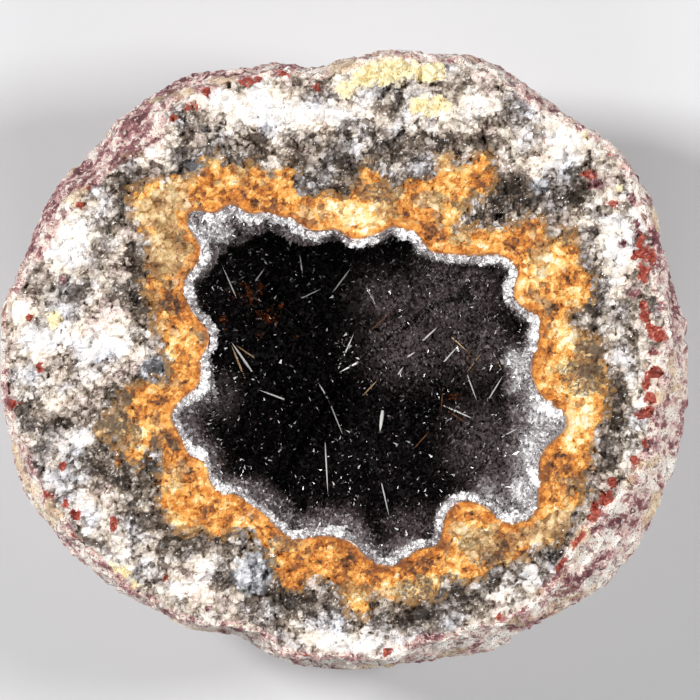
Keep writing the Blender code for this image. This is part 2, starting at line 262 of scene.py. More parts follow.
# the band's outer edge, and the spots as (x, y, half width, half height) in mm
BAND = [
    (-28.3, 22.9), (-26.0, 23.5), (-23.3, 24.0), (-20.7, 24.5), (-18.9, 25.1), (-18.9, 26.7), (-17.3, 27.2),
    (-16.4, 25.9), (-14.7, 26.0), (-13.7, 25.5), (-12.4, 25.9), (-11.1, 25.6), (-9.7, 24.5), (-8.7, 25.6),
    (-7.5, 26.0), (-6.9, 25.3), (-7.2, 23.3), (-6.4, 21.9), (-4.7, 21.6), (-2.7, 21.6), (-1.2, 22.1),
    (0.0, 21.6), (0.9, 22.7), (1.7, 24.3), (2.9, 25.7), (3.7, 25.3), (4.9, 24.3), (5.7, 22.9), (6.7, 22.0),
    (7.9, 22.9), (8.9, 23.7), (10.5, 23.7), (11.9, 24.0), (12.8, 25.1), (13.2, 26.0), (12.3, 27.2),
    (13.5, 27.5), (14.3, 26.1), (15.6, 26.1), (16.9, 26.4), (17.7, 27.2), (18.8, 27.6), (19.6, 27.1),
    (19.5, 25.9), (19.7, 24.5), (20.4, 23.9), (18.8, 22.7), (17.2, 21.6), (16.4, 20.4), (15.3, 19.6),
    (14.5, 18.5), (14.0, 17.3), (14.8, 17.1), (17.2, 17.5), (19.6, 17.3), (21.5, 17.2), (23.1, 17.9),
    (24.3, 18.7), (25.7, 18.5), (26.7, 17.3), (27.2, 16.0), (28.1, 16.1), (29.2, 17.1), (30.0, 17.2),
    (30.9, 16.3), (31.3, 14.4), (30.9, 12.8), (32.0, 12.0), (32.8, 10.7), (32.8, 8.5), (31.6, 7.1),
    (30.3, 6.7), (29.5, 5.3), (30.3, 4.0), (32.0, 3.3), (34.0, 2.0), (34.9, 0.0), (34.8, -2.1), (34.5, -4.3),
    (34.3, -6.0), (34.5, -7.7), (33.3, -9.1), (32.7, -10.7), (32.7, -12.3), (32.4, -14.0), (31.6, -15.5),
    (31.9, -17.3), (31.1, -19.3), (30.0, -20.9), (28.9, -22.7), (27.6, -24.0), (26.0, -24.3), (24.7, -25.1),
    (23.2, -26.1), (22.0, -26.9), (20.7, -27.5), (19.3, -27.5), (18.3, -28.7), (16.7, -29.3), (15.3, -29.1),
    (14.0, -28.7), (12.8, -29.1), (12.3, -30.7), (11.3, -32.0), (9.6, -32.0), (7.9, -31.7), (6.8, -32.0),
    (5.5, -31.2), (3.9, -30.9), (2.8, -32.0), (3.1, -33.6), (2.3, -34.1), (0.9, -32.8), (-0.1, -30.9),
    (-1.5, -29.3), (-3.1, -28.5), (-4.7, -28.4), (-5.5, -29.6), (-5.7, -30.7), (-7.1, -30.4), (-8.1, -30.1),
    (-8.7, -28.5), (-9.2, -26.9), (-10.0, -25.6), (-11.1, -24.5), (-11.9, -23.3), (-13.2, -22.4),
    (-15.1, -22.4), (-16.4, -23.5), (-17.5, -23.1), (-18.8, -22.4), (-19.9, -23.1), (-21.2, -23.2),
    (-22.5, -22.1), (-23.7, -20.7), (-24.5, -19.3), (-24.7, -17.3), (-24.5, -15.5), (-24.5, -13.6),
    (-24.8, -12.0), (-25.6, -11.3), (-26.7, -12.0), (-27.2, -13.3), (-28.1, -14.0), (-29.5, -13.3),
    (-30.4, -13.9), (-30.0, -12.3), (-29.2, -10.9), (-30.3, -10.1), (-31.3, -9.7), (-33.2, -10.1),
    (-33.5, -9.1), (-32.1, -8.0), (-30.8, -7.2), (-29.5, -6.0), (-30.0, -4.8), (-28.9, -3.7), (-27.3, -3.5),
    (-25.3, -3.2), (-23.6, -2.7), (-22.8, -1.5), (-23.3, 0.0), (-24.1, 1.1), (-23.3, 2.1), (-24.7, 3.5),
    (-26.0, 4.5), (-25.2, 5.6), (-24.7, 6.9), (-26.0, 8.0), (-26.8, 9.6), (-26.0, 11.7), (-26.0, 13.6),
    (-26.0, 15.5), (-26.0, 17.1), (-27.3, 17.3), (-27.9, 18.7), (-28.3, 20.7),
]
RED_SPOTS = [
    (35.7, 20.9, 1.3, 0.5), (39.3, 16.0, 0.8, 1.1), (39.7, 14.4, 1.1, 1.1), (40.9, 13.6, 0.8, 1.1),
    (38.7, 13.9, 0.9, 0.5), (39.7, 7.3, 0.5, 0.8), (40.1, 6.0, 0.7, 0.8), (40.9, 4.0, 0.7, 0.8),
    (42.0, 3.3, 1.3, 0.8), (41.3, 1.1, 0.8, 0.5), (41.3, -1.6, 1.1, 0.8), (40.4, -3.3, 0.7, 1.1),
    (40.4, -6.9, 0.9, 0.7), (39.3, -7.3, 0.7, 0.4), (40.0, -10.7, 0.5, 0.8), (35.7, -16.9, 0.7, 1.1),
    (34.8, -18.4, 0.7, 1.1), (33.3, -21.1, 0.9, 0.5), (31.7, -23.6, 0.5, 1.2), (31.6, -25.3, 0.8, 0.8),
    (30.3, -26.4, 1.1, 0.5), (29.1, -27.3, 0.8, 0.4), (28.3, -27.9, 0.4, 0.3), (26.7, 29.3, 0.3, 0.7),
    (35.1, 27.3, 0.4, 0.3), (32.7, 24.7, 1.1, 0.7), (-3.9, 36.4, 0.7, 0.3), (-13.3, 37.3, 0.8, 0.7),
    (-11.7, 37.3, 0.7, 0.5), (-8.3, 38.3, 0.8, 0.4), (-18.5, 36.1, 0.7, 0.7), (-20.5, 33.7, 0.8, 0.8),
    (-22.9, 32.3, 0.5, 0.5), (-25.7, 33.1, 0.5, 0.4), (-16.0, 37.7, 0.4, 0.4), (-17.3, 37.3, 0.4, 0.4),
    (-28.7, 30.0, 1.1, 0.8), (-31.6, 27.3, 1.1, 0.5), (-34.4, 23.3, 0.4, 0.7), (-35.3, 20.7, 0.7, 0.5),
    (-42.0, 5.6, 0.7, 0.4), (-40.7, -1.3, 0.5, 0.7), (-44.4, -5.7, 1.6, 0.4), (-45.3, -6.9, 0.4, 0.8),
    (-44.7, -8.0, 0.7, 0.4), (-24.0, -29.1, 0.5, 0.4), (-21.6, -31.2, 0.7, 0.4), (-37.7, -14.3, 0.5, 0.7),
    (-37.3, -18.7, 0.5, 0.8), (-36.0, -20.7, 0.8, 1.1), (-36.4, -24.0, 0.5, 1.1), (-34.7, -26.9, 0.5, 0.4),
    (-30.9, -22.0, 0.5, 1.1), (-28.4, -25.1, 0.4, 0.4), (-40.0, -18.0, 1.3, 0.5), (-10.7, -39.3, 0.8, 0.4),
    (-8.7, -39.7, 0.7, 0.5), (-6.0, -39.6, 1.1, 0.5), (-2.7, -40.1, 1.6, 0.3), (0.0, -40.0, 1.1, 0.4),
    (3.3, -40.7, 0.8, 0.4), (5.7, -38.9, 0.4, 0.4), (12.0, -38.9, 0.5, 0.4), (16.7, -36.9, 0.7, 0.4),
    (20.7, -34.4, 0.5, 0.5), (33.4, -19.8, 0.7, 1.3), (31.2, -24.8, 0.8, 1.4), (29.3, -27.0, 1.3, 0.7),
    (39.8, 11.6, 0.7, 1.3), (40.7, -5.2, 0.7, 1.0), (38.5, -13.2, 0.6, 1.0), (-24.3, 34.2, 0.9, 0.5),
    (-27.3, 31.6, 0.9, 0.6), (-30.4, 28.6, 0.8, 0.5),
]
WINE_SPOTS = [
    (38.5, 8.9, 1.1, 0.7), (38.4, 21.3, 0.5, 1.1), (38.9, 18.0, 0.5, 1.1), (-37.5, 10.3, 0.5, 0.8),
    (-18.5, -33.1, 0.9, 0.5), (36.9, 15.5, 0.8, 0.5), (33.5, 23.3, 1.2, 0.8), (41.3, 1.1, 0.7, 0.7),
    (39.3, -6.9, 0.5, 0.5), (-22.7, 35.3, 1.9, 0.5), (-26.0, 32.7, 1.6, 0.7), (-29.3, 29.3, 1.1, 0.8),
    (-33.3, 25.3, 1.1, 0.8),
]
OCHRE_SPOTS = [
    (5.3, 38.7, 4.0, 1.9), (11.3, 38.4, 2.0, 1.3), (2.7, 37.1, 2.0, 0.8), (0.0, 36.0, 1.1, 1.1),
    (11.1, 34.0, 2.9, 1.2), (-38.7, 5.3, 0.8, 1.2), (32.7, 30.0, 1.3, 0.7), (36.7, 22.7, 0.5, 0.5),
    (-30.7, -28.4, 2.1, 1.2), (-28.0, -30.0, 0.8, 0.4),
]
WHITE_SPOTS = [
    (30.0, 29.3, 4.0, 3.2), (36.0, 14.7, 2.9, 6.0), (39.3, 19.3, 1.6, 2.7), (-6.0, 32.6, 8.0, 2.2),
    (-10.7, 34.0, 5.3, 3.3), (-32.7, 2.7, 6.0, 3.3), (-37.3, 16.0, 3.2, 5.3), (-20.7, -30.0, 2.7, 1.9),
    (24.9, -29.1, 1.3, 2.7), (3.3, -38.0, 8.0, 2.1), (-34.7, -19.3, 2.7, 2.0), (-2.0, -37.3, 4.0, 1.6),
    (-43.3, 6.7, 2.9, 2.1), (-40.7, 2.0, 3.2, 2.4), (0.0, 32.8, 4.0, 1.1), (-17.3, 34.7, 4.0, 2.1),
    (-26.0, 28.0, 2.9, 1.6), (-36.0, -10.7, 3.2, 1.9), (-18.7, -27.3, 3.5, 1.3), (20.7, -31.3, 1.9, 1.1),
    (23.3, 37.3, 2.9, 1.3), (18.0, 34.0, 3.5, 1.6), (28.0, 26.7, 3.5, 1.3), (36.7, 0.0, 2.1, 1.6),
    (39.3, -5.3, 1.6, 1.3),
]
DARK_SPOTS = [
    (-20.7, 26.7, 3.2, 1.9), (-12.7, 28.0, 5.6, 2.3), (-3.3, 28.0, 6.0, 2.6), (7.3, 28.6, 5.6, 2.4),
    (16.7, 29.1, 5.9, 1.3), (28.7, 22.7, 3.7, 3.5), (18.7, 20.7, 4.8, 2.4), (23.3, 22.0, 3.5, 2.9),
    (-29.3, 23.3, 3.5, 1.9), (-28.0, 16.0, 1.6, 4.5), (-27.3, 6.7, 1.9, 4.0), (-30.0, -4.7, 2.1, 1.6),
    (-32.0, -8.0, 3.5, 2.1), (-34.0, -12.7, 2.9, 2.7), (-28.7, -16.0, 2.9, 3.2), (-26.0, -21.3, 2.1, 2.7),
    (-22.0, -25.1, 3.2, 1.9), (-16.7, -28.7, 2.7, 2.4), (-11.1, -29.3, 1.6, 2.9), (-4.7, -32.7, 3.5, 1.6),
    (7.3, -34.0, 4.5, 1.3), (14.7, -30.9, 3.5, 1.6), (20.7, -29.1, 2.7, 1.3), (28.7, -24.7, 1.9, 1.6),
    (32.9, 13.3, 1.9, 2.7), (32.7, 5.3, 1.9, 3.5), (36.0, -5.3, 1.9, 3.2), (35.6, -12.0, 2.1, 2.9),
    (33.7, 1.3, 2.1, 1.9), (-25.3, -13.3, 1.2, 4.5), (-42.0, -7.3, 2.7, 2.4), (-38.0, -9.3, 2.4, 1.6),
]
PEPPERED_SPOTS = [
    (33.0, 2.5, 2.8, 2.2), (32.0, -2.5, 3.2, 2.4), (34.5, 6.0, 2.0, 2.6), (-30.0, -9.5, 3.0, 3.0),
    (5.0, 22.5, 3.2, 1.5), (9.5, -30.5, 3.0, 1.6), (-18.0, 9.0, 1.2, 2.5), (20.0, -27.0, 2.6, 1.6),
    (30.0, 16.5, 1.6, 1.6), (-8.0, -24.5, 2.5, 1.2),
]
FIBROUS_SPOTS = [(18.7, 20.3, 5.6, 3.2)]
TAN_SPOTS = [
    (-22.7, 14.7, 4.5, 5.9), (-24.7, 19.3, 3.5, 2.4), (-24.0, 20.7, 4.0, 2.1), (-17.3, 24.0, 1.3, 1.1),
    (32.7, 0.0, 2.9, 4.5), (-31.3, -5.3, 2.9, 2.7), (-32.0, -10.7, 2.9, 3.5), (26.0, -22.7, 2.9, 1.9),
    (28.7, -21.3, 2.4, 1.6), (-20.7, -23.3, 2.9, 1.3), (18.0, -24.7, 3.5, 2.4), (11.3, 21.3, 2.7, 1.3),
]
CREAM_SPOTS = [
    (0.7, 19.3, 5.9, 2.4), (15.3, 15.3, 4.0, 1.3), (26.7, 12.7, 3.5, 2.1), (18.0, -23.3, 3.2, 2.1),
    (7.3, -30.0, 3.5, 1.6), (28.7, -2.7, 2.9, 3.2), (33.3, -1.6, 1.6, 1.9), (5.3, 19.7, 2.4, 1.6),
    (-27.3, -10.7, 1.6, 2.1), (-16.0, 16.7, 1.1, 0.8), (31.0, -8.5, 2.4, 4.5), (29.6, 3.5, 2.4, 3.5),
    (30.5, 9.0, 2.2, 2.0),
]
RUST_SPOTS = [
    (11.6, 16.7, 1.9, 1.6), (-6.0, 15.3, 4.0, 0.8), (-19.9, 7.3, 1.3, 3.5), (-19.3, 0.0, 0.8, 3.2),
    (-21.3, -4.0, 1.9, 1.6), (-22.7, -10.7, 1.3, 2.7), (-13.3, -20.7, 5.3, 1.3), (11.3, -28.0, 1.9, 1.1),
    (23.3, 16.0, 4.0, 1.1), (30.7, -14.7, 1.9, 2.4), (12.7, -24.0, 2.7, 1.1), (-12.7, 20.7, 6.7, 1.1),
    (28.0, 8.0, 2.7, 1.9),
]
BLUE_SPOTS = [
    (-25.3, -1.3, 2.1, 1.9), (-12.4, -28.7, 2.7, 2.9), (-18.7, 26.0, 2.4, 1.1), (26.0, 23.3, 1.3, 1.1),
    (31.3, 13.1, 1.3, 1.1),
]


def line_distance(points, line):
    """Distance in mm of each point from a closed line, and below zero inside it."""
    nearest = np.full(len(points), np.inf)
    inside = np.zeros(len(points), bool)
    for start, end in zip(line, np.roll(line, -1, axis=0)):
        step = end - start
        off = points - start
        share = np.clip(off @ step / (step @ step), 0.0, 1.0)
        nearest = np.minimum(nearest, np.hypot(*(off - share[:, None] * step).T))
        if step[1] != 0.0:
            crosses = (start[1] > points[:, 1]) != (end[1] > points[:, 1])
            inside ^= crosses & (off[:, 0] < off[:, 1] * step[0] / step[1])
    return np.where(inside, -nearest, nearest)


def spotted(points, spots):
    """1 at the middle of a spot, 0 at its edge and below zero outside all of the spots."""
    field = np.full(len(points), -1.0)
    for x, y, half_width, half_height in spots:
        off = np.hypot((points[:, 0] - x) / half_width, (points[:, 1] - y) / half_height)
        field = np.maximum(field, 1.0 - off)
    return field


def points_of(item):
    """A mesh object's points in mm, with height counted from the cut face."""
    flat = np.empty(len(item.data.vertices) * 3)
    item.data.vertices.foreach_get("co", flat)
    return flat.reshape(-1, 3) / MM - (0.0, 0.0, CUT_HEIGHT / MM)


def move_points(item, points):
    """Give a mesh object its points back."""
    places = points * MM + (0.0, 0.0, CUT_HEIGHT)
    item.data.vertices.foreach_set("co", places.ravel())
    item.data.update()


def keep_field(item, name, values):
    """Store one number for each point, for the material to read."""
    attribute = item.data.attributes.new(name, "FLOAT", "POINT")
    attribute.data.foreach_set("value", np.asarray(values, np.float32))


rock = bpy.data.objects.new("geode_rock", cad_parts["geode_shell"].data.copy())
bpy.context.scene.collection.objects.link(rock)
choose(rock)
bpy.ops.object.mode_set(mode="EDIT")
bpy.ops.mesh.select_all(action="SELECT")
bpy.ops.mesh.remove_doubles(threshold=1e-6)
bpy.ops.mesh.select_all(action="DESELECT")
bpy.ops.object.mode_set(mode="OBJECT")
for vertex in rock.data.vertices:
    off_middle = math.dist(vertex.co[:2], HOLLOW_MIDDLE * MM)
    vertex.select = off_middle < SOLID_HOLLOW_REACH * MM and vertex.co.z > SOLID_HOLLOW_FLOOR * MM
bpy.ops.object.mode_set(mode="EDIT")
bpy.ops.mesh.select_mode(type="VERT")
bpy.ops.mesh.delete(type="VERT")
bpy.ops.mesh.select_all(action="SELECT")
bpy.ops.mesh.fill_holes(sides=0)
bpy.ops.mesh.normals_make_consistent(inside=False)
bpy.ops.object.mode_set(mode="OBJECT")
skin = points_of(rock)
rim = skin[(skin[:, 2] > -0.01)][:, :2]
rim = rim[np.argsort(np.arctan2(rim[:, 1], rim[:, 0]))]

cutter_rings = hollow_rings(CUTTER_AROUND, CUTTER_LEVELS)
lid = cutter_rings[0] + (0.0, 0.0, CUTTER_LID)
cutter_points = np.concatenate((lid[None], cutter_rings)).reshape(-1, 3)
cutter_faces = ring_faces(CUTTER_AROUND, CUTTER_LEVELS + 1).tolist()
cutter_floor = CUTTER_AROUND * CUTTER_LEVELS
cutter_faces.append(list(range(CUTTER_AROUND)))
cutter_faces.append(list(range(cutter_floor + CUTTER_AROUND - 1, cutter_floor - 1, -1)))
cutter = new_mesh_object("hollow_cutter", cutter_points, cutter_faces)
face_outward(cutter)
apply_modifier(rock, "BOOLEAN", operation="DIFFERENCE", object=cutter)
bpy.data.objects.remove(cutter)
apply_modifier(rock, "REMESH", mode="VOXEL", voxel_size=ROCK_VOXEL * MM)

# sawn face: finer faces, one seed for each grain, and each grain broken off at its own slant
places = points_of(rock)
bpy.ops.object.mode_set(mode="EDIT")
bpy.ops.mesh.select_all(action="DESELECT")
bpy.ops.object.mode_set(mode="OBJECT")
on_face = places[:, 2] > -FACE_LAYER
for polygon in rock.data.polygons:
    polygon.select = all(on_face[corner] for corner in polygon.vertices)
bpy.ops.object.mode_set(mode="EDIT")
bpy.ops.mesh.select_mode(type="FACE")
bpy.ops.mesh.subdivide(number_cuts=FACE_CUTS)
bpy.ops.object.mode_set(mode="OBJECT")

places = points_of(rock)
flat_places = places[:, :2]
rng = np.random.default_rng(11)


def broken_grains(flat, count, tilt, drop):
    """For each point: its grain's slanting depth, the grain's own tone, the gap beside it and its middle."""
    seeds = rng.uniform(-GRAIN_FIELD, GRAIN_FIELD, (count, 2))
    tree = KDTree(count)
    for index, seed in enumerate(seeds):
        tree.insert((*seed, 0.0), index)
    tree.balance()
    found = [tree.find_n((x, y, 0.0), 2) for x, y in flat]
    first = np.array([near[1] for near, beside in found])
    gaps = np.array([beside[2] - near[2] for near, beside in found])
    slant = np.sum(rng.normal(0.0, tilt, (count, 2))[first] * (flat - seeds[first]), axis=1)
    depth = slant + rng.uniform(0.0, drop, count)[first]
    tone = rng.uniform(0.0, 1.0, count)[first]
    return depth, tone, gaps, seeds[first]


coarse_depth, coarse_tone, coarse_gap = broken_grains(flat_places, *GRAIN_SIZES[0])[:3]
small_depth, small_tone, small_gap, grain_middles = broken_grains(flat_places, *GRAIN_SIZES[1])
past_mouth = line_distance(flat_places, softened(closed_line(MOUTH, WALL_AROUND), 1))
past_band = line_distance(flat_places, np.array(BAND))
from_rim = -line_distance(flat_places, rim)
face_share = ease((places[:, 2] + FACE_END) / FACE_FADE)
in_band = ease(0.5 - past_band / BAND_FADE)
near_lip = ease((past_mouth - LIP_EDGE) / LIP_FADE)
crevices = GAP_DEPTH * (1.0 - ease(coarse_gap / COARSE_GAP))
crevices += GAP_DEPTH * SMALL_GAP_SHARE * (1.0 - ease(small_gap / SMALL_GAP))
relief = QUARTZ_SUNK + coarse_depth + small_depth + crevices
soft_relief = BAND_SUNK + BAND_COARSE * coarse_depth + BAND_SMALL * small_depth
lowered = (relief + (soft_relief - relief) * in_band) * near_lip + LIP_SUNK * (1.0 - near_lip)
places[:, 2] -= np.maximum(lowered, LEAST_SUNK) * face_share

# rind: lumps and hollows on both sides of the CAD stone's skin, kept inside the CAD box
normals = np.empty(len(places) * 3)
rock.data.vertices.foreach_get("normal", normals)
normals = normals.reshape(-1, 3)
height = CUT_HEIGHT / MM + places[:, 2]
rind_share = (1.0 - face_share) * ease((height - RIND_FOOT) / RIND_FADE)
for index in np.flatnonzero((rind_share > 0.0) & (past_mouth > LIP_KEPT)):
    spot = Vector(places[index])
    hollows = (abs(noise.fractal(spot * scale, *RIND_NOISE)) * lump for scale, lump in RIND_LUMPS)
    places[index] -= normals[index] * (sum(hollows) - RIND_SWELL) * rind_share[index]
reach = np.array(cad_box[1][:2]) / MM - BOX_MARGIN
places[:, :2] = np.clip(places[:, :2], -reach, reach)
move_points(rock, places)

# what the material reads: distances, each grain's own numbers, and the spots that follow whole grains
by_grain = PLACE_SHARE * flat_places + GRAIN_SHARE * grain_middles
band_by_grain = PLACE_SHARE * past_band + GRAIN_SHARE * line_distance(grain_middles, np.array(BAND))
round_rind = np.degrees(np.arctan2(places[:, 1], places[:, 0]))
for name, values in (
        ("past_mouth", past_mouth), ("past_band", band_by_grain), ("from_rim", from_rim),
        ("grain_tone", coarse_tone), ("small_grain_tone", small_tone), ("grain_gap", coarse_gap),
        ("skin", 1.0 - face_share), ("rosy", np.interp(round_rind, *zip(*ROSY_RIND)))):
    keep_field(rock, name, values)
for name, spots in (
        ("red", RED_SPOTS), ("wine", WINE_SPOTS), ("ochre", OCHRE_SPOTS), ("white", WHITE_SPOTS),
        ("dark", DARK_SPOTS), ("peppered", PEPPERED_SPOTS), ("fibrous", FIBROUS_SPOTS), ("blue", BLUE_SPOTS),
        ("tan", TAN_SPOTS), ("cream", CREAM_SPOTS), ("rust", RUST_SPOTS)):
    keep_field(rock, name, spotted(by_grain, spots))


class Recipe:
    """A material's node tree, with short ways of adding the nodes that the finishes here share."""

    def __init__(self, name):
        self.material = bpy.data.materials.new(name)
        self.material.use_nodes = True
        self.nodes = self.material.node_tree.nodes
        self.links = self.material.node_tree.links
        self.shader = self.nodes["Principled BSDF"]

    def add(self, kind, inputs=(), **settings):
        """Add a node. Inputs are (socket name or number, a value or another node's output)."""
        made = self.nodes.new(kind)
        for name, value in settings.items():
            setattr(made, name, value)
        for socket, value in inputs:
            self.feed(made, socket, value)
        return made

    def feed(self, made, socket, value):
        """Link an output to a node's input, or set the input's value."""
        if isinstance(value, bpy.types.NodeSocket):
            self.links.new(value, made.inputs[socket])
        elif isinstance(value, tuple) and len(value) == 3 and made.inputs[socket].type == "RGBA":
            made.inputs[socket].default_value = (*value, 1.0)
        else:
            made.inputs[socket].default_value = value

    def field(self, name):
        """A number stored on the mesh."""
        return self.add("ShaderNodeAttribute", attribute_name=name).outputs["Fac"]

    def maths(self, operation, first, second=0.0, third=0.0):
        made = self.add("ShaderNodeMath", ((0, first), (1, second), (2, third)), operation=operation)
        return made.outputs[0]

    def times(self, first, second):
        return self.maths("MULTIPLY", first, second)

    def total(self, start, *parts):
        """A start and each part times its share: parts are (value, share)."""
        for value, share in parts:
            start = self.maths("MULTIPLY_ADD", value, share, start)
        return start

    def vectors(self, operation, first, second, result="Vector"):
        made = self.add("ShaderNodeVectorMath", ((0, first), (1, second)), operation=operation)
        return made.outputs[result]

    def between(self, value, low, high):
        """0 below low and 1 above high, with a soft step; low may be the larger."""
        inputs = ((0, value), (1, low), (2, high))
        return self.add("ShaderNodeMapRange", inputs, interpolation_type="SMOOTHSTEP").outputs[0]

    def ramp(self, value, *stops):
        """A colour for each value: stops are (place, colour)."""
        made = self.add("ShaderNodeValToRGB", ((0, value),))
        elements = made.color_ramp.elements
        while len(elements) < len(stops):
            elements.new(0.5)
        for element, (place, colour) in zip(elements, stops):
            element.position = place
            element.color = (*colour, 1.0)
        return made.outputs[0]

    def blend(self, share, under, over, strength=None, **settings):
        """One colour over another, where share says and as strongly as strength says."""
        if strength is not None:
            share = self.times(share, strength)
        made = self.add("ShaderNodeMix", ((0, share), (6, under), (7, over)), data_type="RGBA", **settings)
        return made.outputs[2]

    def noise(self, places, scale, detail=3.0, roughness=0.55, distortion=0.0):
        inputs = (("Vector", places), ("Scale", scale), ("Detail", detail))
        inputs += (("Roughness", roughness), ("Distortion", distortion))
        return self.add("ShaderNodeTexNoise", inputs).outputs["Fac"]

    def cells(self, places, scale):
        """A colour that is the same all over each cell, the distance from its middle, and the middle."""
        made = self.add("ShaderNodeTexVoronoi", (("Vector", places), ("Scale", scale)))
        return made.outputs["Color"], made.outputs["Distance"], made.outputs["Position"]

    def places_in_mm(self, stretch=(1.0, 1.0, 1.0)):
        """Object coordinates in mm, stretched so that a pattern can run one way."""
        here = self.add("ShaderNodeTexCoord").outputs["Object"]
        scale = tuple(share / MM for share in stretch)
        return self.add("ShaderNodeMapping", (("Vector", here), ("Scale", scale))).outputs[0]

    def shaken(self, places, scale, amount):
        """Places pushed about by a noise, so that edges wander."""
        inputs = (("Vector", places), ("Scale", scale), ("Detail", 2.0))
        push = self.add("ShaderNodeTexNoise", inputs).outputs["Color"]
        push = self.vectors("SUBTRACT", push, (0.5, 0.5, 0.5))
        push = self.vectors("MULTIPLY", push, (amount, amount, amount))
        return self.vectors("ADD", places, push)


SMALL_CELLS = 1.15
TINY_CELLS = 3.1
rough = Recipe("sawn_quartz_and_goethite")
here = rough.places_in_mm()
small_colour, small_distance, small_middle = rough.cells(here, SMALL_CELLS)
tiny_colour, tiny_distance, tiny_middle = rough.cells(here, TINY_CELLS)
flake_tone = rough.add("ShaderNodeSeparateColor", ((0, small_colour),)).outputs[0]
tiny_tone = rough.add("ShaderNodeSeparateColor", ((0, tiny_colour),)).outputs[1]
wander = rough.total(
    0.0, (rough.noise(small_middle, 0.9, 3.0, 0.6), 0.7), (rough.noise(tiny_middle, 0.9, 4.0, 0.65), 0.3))
ragged = rough.maths("SUBTRACT", wander, 0.5)
fine_noise = rough.noise(tiny_middle, 3.2, 2.0, 0.6)
speck_noise = rough.noise(here, 5.5, 1.0, 0.5)
# painted shading: each small grain made lighter on one side and darker on the other, as if slanted to the
# light
grain_slant = rough.vectors("SUBTRACT", small_colour, (0.5, 0.5, 0.5))
painted_facet_shade = rough.vectors("DOT_PRODUCT", rough.vectors("SUBTRACT", here, small_middle), grain_slant, "Value")
# painted glints on the tiny cells at the top of their tone range, and dark flecks on those at the bottom
painted_glint = rough.maths("SUBTRACT", rough.between(tiny_tone, 0.90, 0.95), rough.between(tiny_tone, 0.10, 0.05))


def zone(name, raggedness, low, high):
    """Where one of the mesh's fields is past a level, with an edge that runs along the grains."""
    return rough.between(rough.total(rough.field(name), (ragged, raggedness)), low, high)


# quartz: white and grey grains, dark where the light goes in and is lost
zone_noise = rough.noise(rough.shaken(small_middle, 0.3, 3.0), 0.17, 3.0, 0.6)
white = zone("white", 2.2, 0.0, 0.28)
near_band = rough.times(zone("past_band", 7.0, 3.0, 1.9), 0.7)
dark = rough.maths("MAXIMUM", zone("dark", 2.2, -0.04, 0.20), near_band)
patches = rough.noise(small_middle, 0.40, 2.0, 0.55)
# the grains' own tones mixed with painted light: painted facet shading, painted glints and painted shade
# along each small grain's edge
speckle_and_painted_light = rough.total(
    -0.42, (rough.field("grain_tone"), 0.36), (rough.field("small_grain_tone"), 0.12), (flake_tone, 0.28),
    (tiny_tone, 0.13), (painted_facet_shade, 0.40), (painted_glint, 0.16), (rough.between(small_distance, 0.48, 0.75), -0.14))
calm = rough.total(1.0, (white, -0.5))
fibres = rough.noise(rough.places_in_mm((3.4, 0.5, 1.0)), 1.0, 2.0, 0.6)
fibres = rough.times(rough.maths("SUBTRACT", fibres, 0.55), rough.between(rough.field("fibrous"), -0.1, 0.3))
# painted shade in the gaps between the coarse grains, where the sunk crevices lie
painted_gap_shade = rough.times(rough.between(rough.field("grain_gap"), 0.22, 0.0), rough.between(wander, 0.50, 0.62))
tone = rough.total(
    -0.38, (zone_noise, 1.1), (patches, 1.0), (white, 0.34), (dark, -0.34), (speckle_and_painted_light, calm), (fibres, 1.1),
    (painted_gap_shade, -0.22))
quartz = rough.ramp(
    tone, (0.02, (0.035, 0.027, 0.022)), (0.22, (0.095, 0.075, 0.062)), (0.40, (0.21, 0.175, 0.15)),
    (0.58, (0.44, 0.40, 0.375)), (0.78, (0.72, 0.685, 0.66)), (1.0, (0.90, 0.885, 0.87)))
tint = rough.ramp(
    rough.noise(here, 0.23, 2.0), (0.32, (0.90, 0.93, 1.0)), (0.46, (1.0, 0.97, 0.95)),
    (0.56, (1.0, 0.93, 0.82)), (0.68, (1.0, 0.88, 0.84)))
quartz = rough.blend(1.0, quartz, tint, blend_type="MULTIPLY")
milk = rough.ramp(
    rough.total(0.0, (rough.field("white"), 0.55), (flake_tone, 0.5)), (0.20, (0.62, 0.57, 0.54)),
    (0.45, (0.78, 0.73, 0.69)), (0.62, (0.88, 0.85, 0.82)), (0.80, (0.95, 0.94, 0.925)))
quartz = rough.blend(zone("white", 1.6, 0.58, 0.66), quartz, milk, 0.85)
blue_grey = rough.ramp(tone, (0.2, (0.12, 0.12, 0.13)), (0.5, (0.34, 0.35, 0.38)), (0.9, (0.72, 0.73, 0.76)))
quartz = rough.blend(zone("blue", 1.2, -0.05, 0.15), quartz, blue_grey, 0.85)

# goethite: rusty orange to golden earth with dark specks
blotches = rough.noise(tiny_middle, 0.42, 3.0, 0.6, 0.8)
contour = rough.total(-2.0, (rough.field("past_mouth"), 1.0), (ragged, 3.0))
contour = rough.between(rough.maths("ABSOLUTE", contour), 0.30, 0.05)
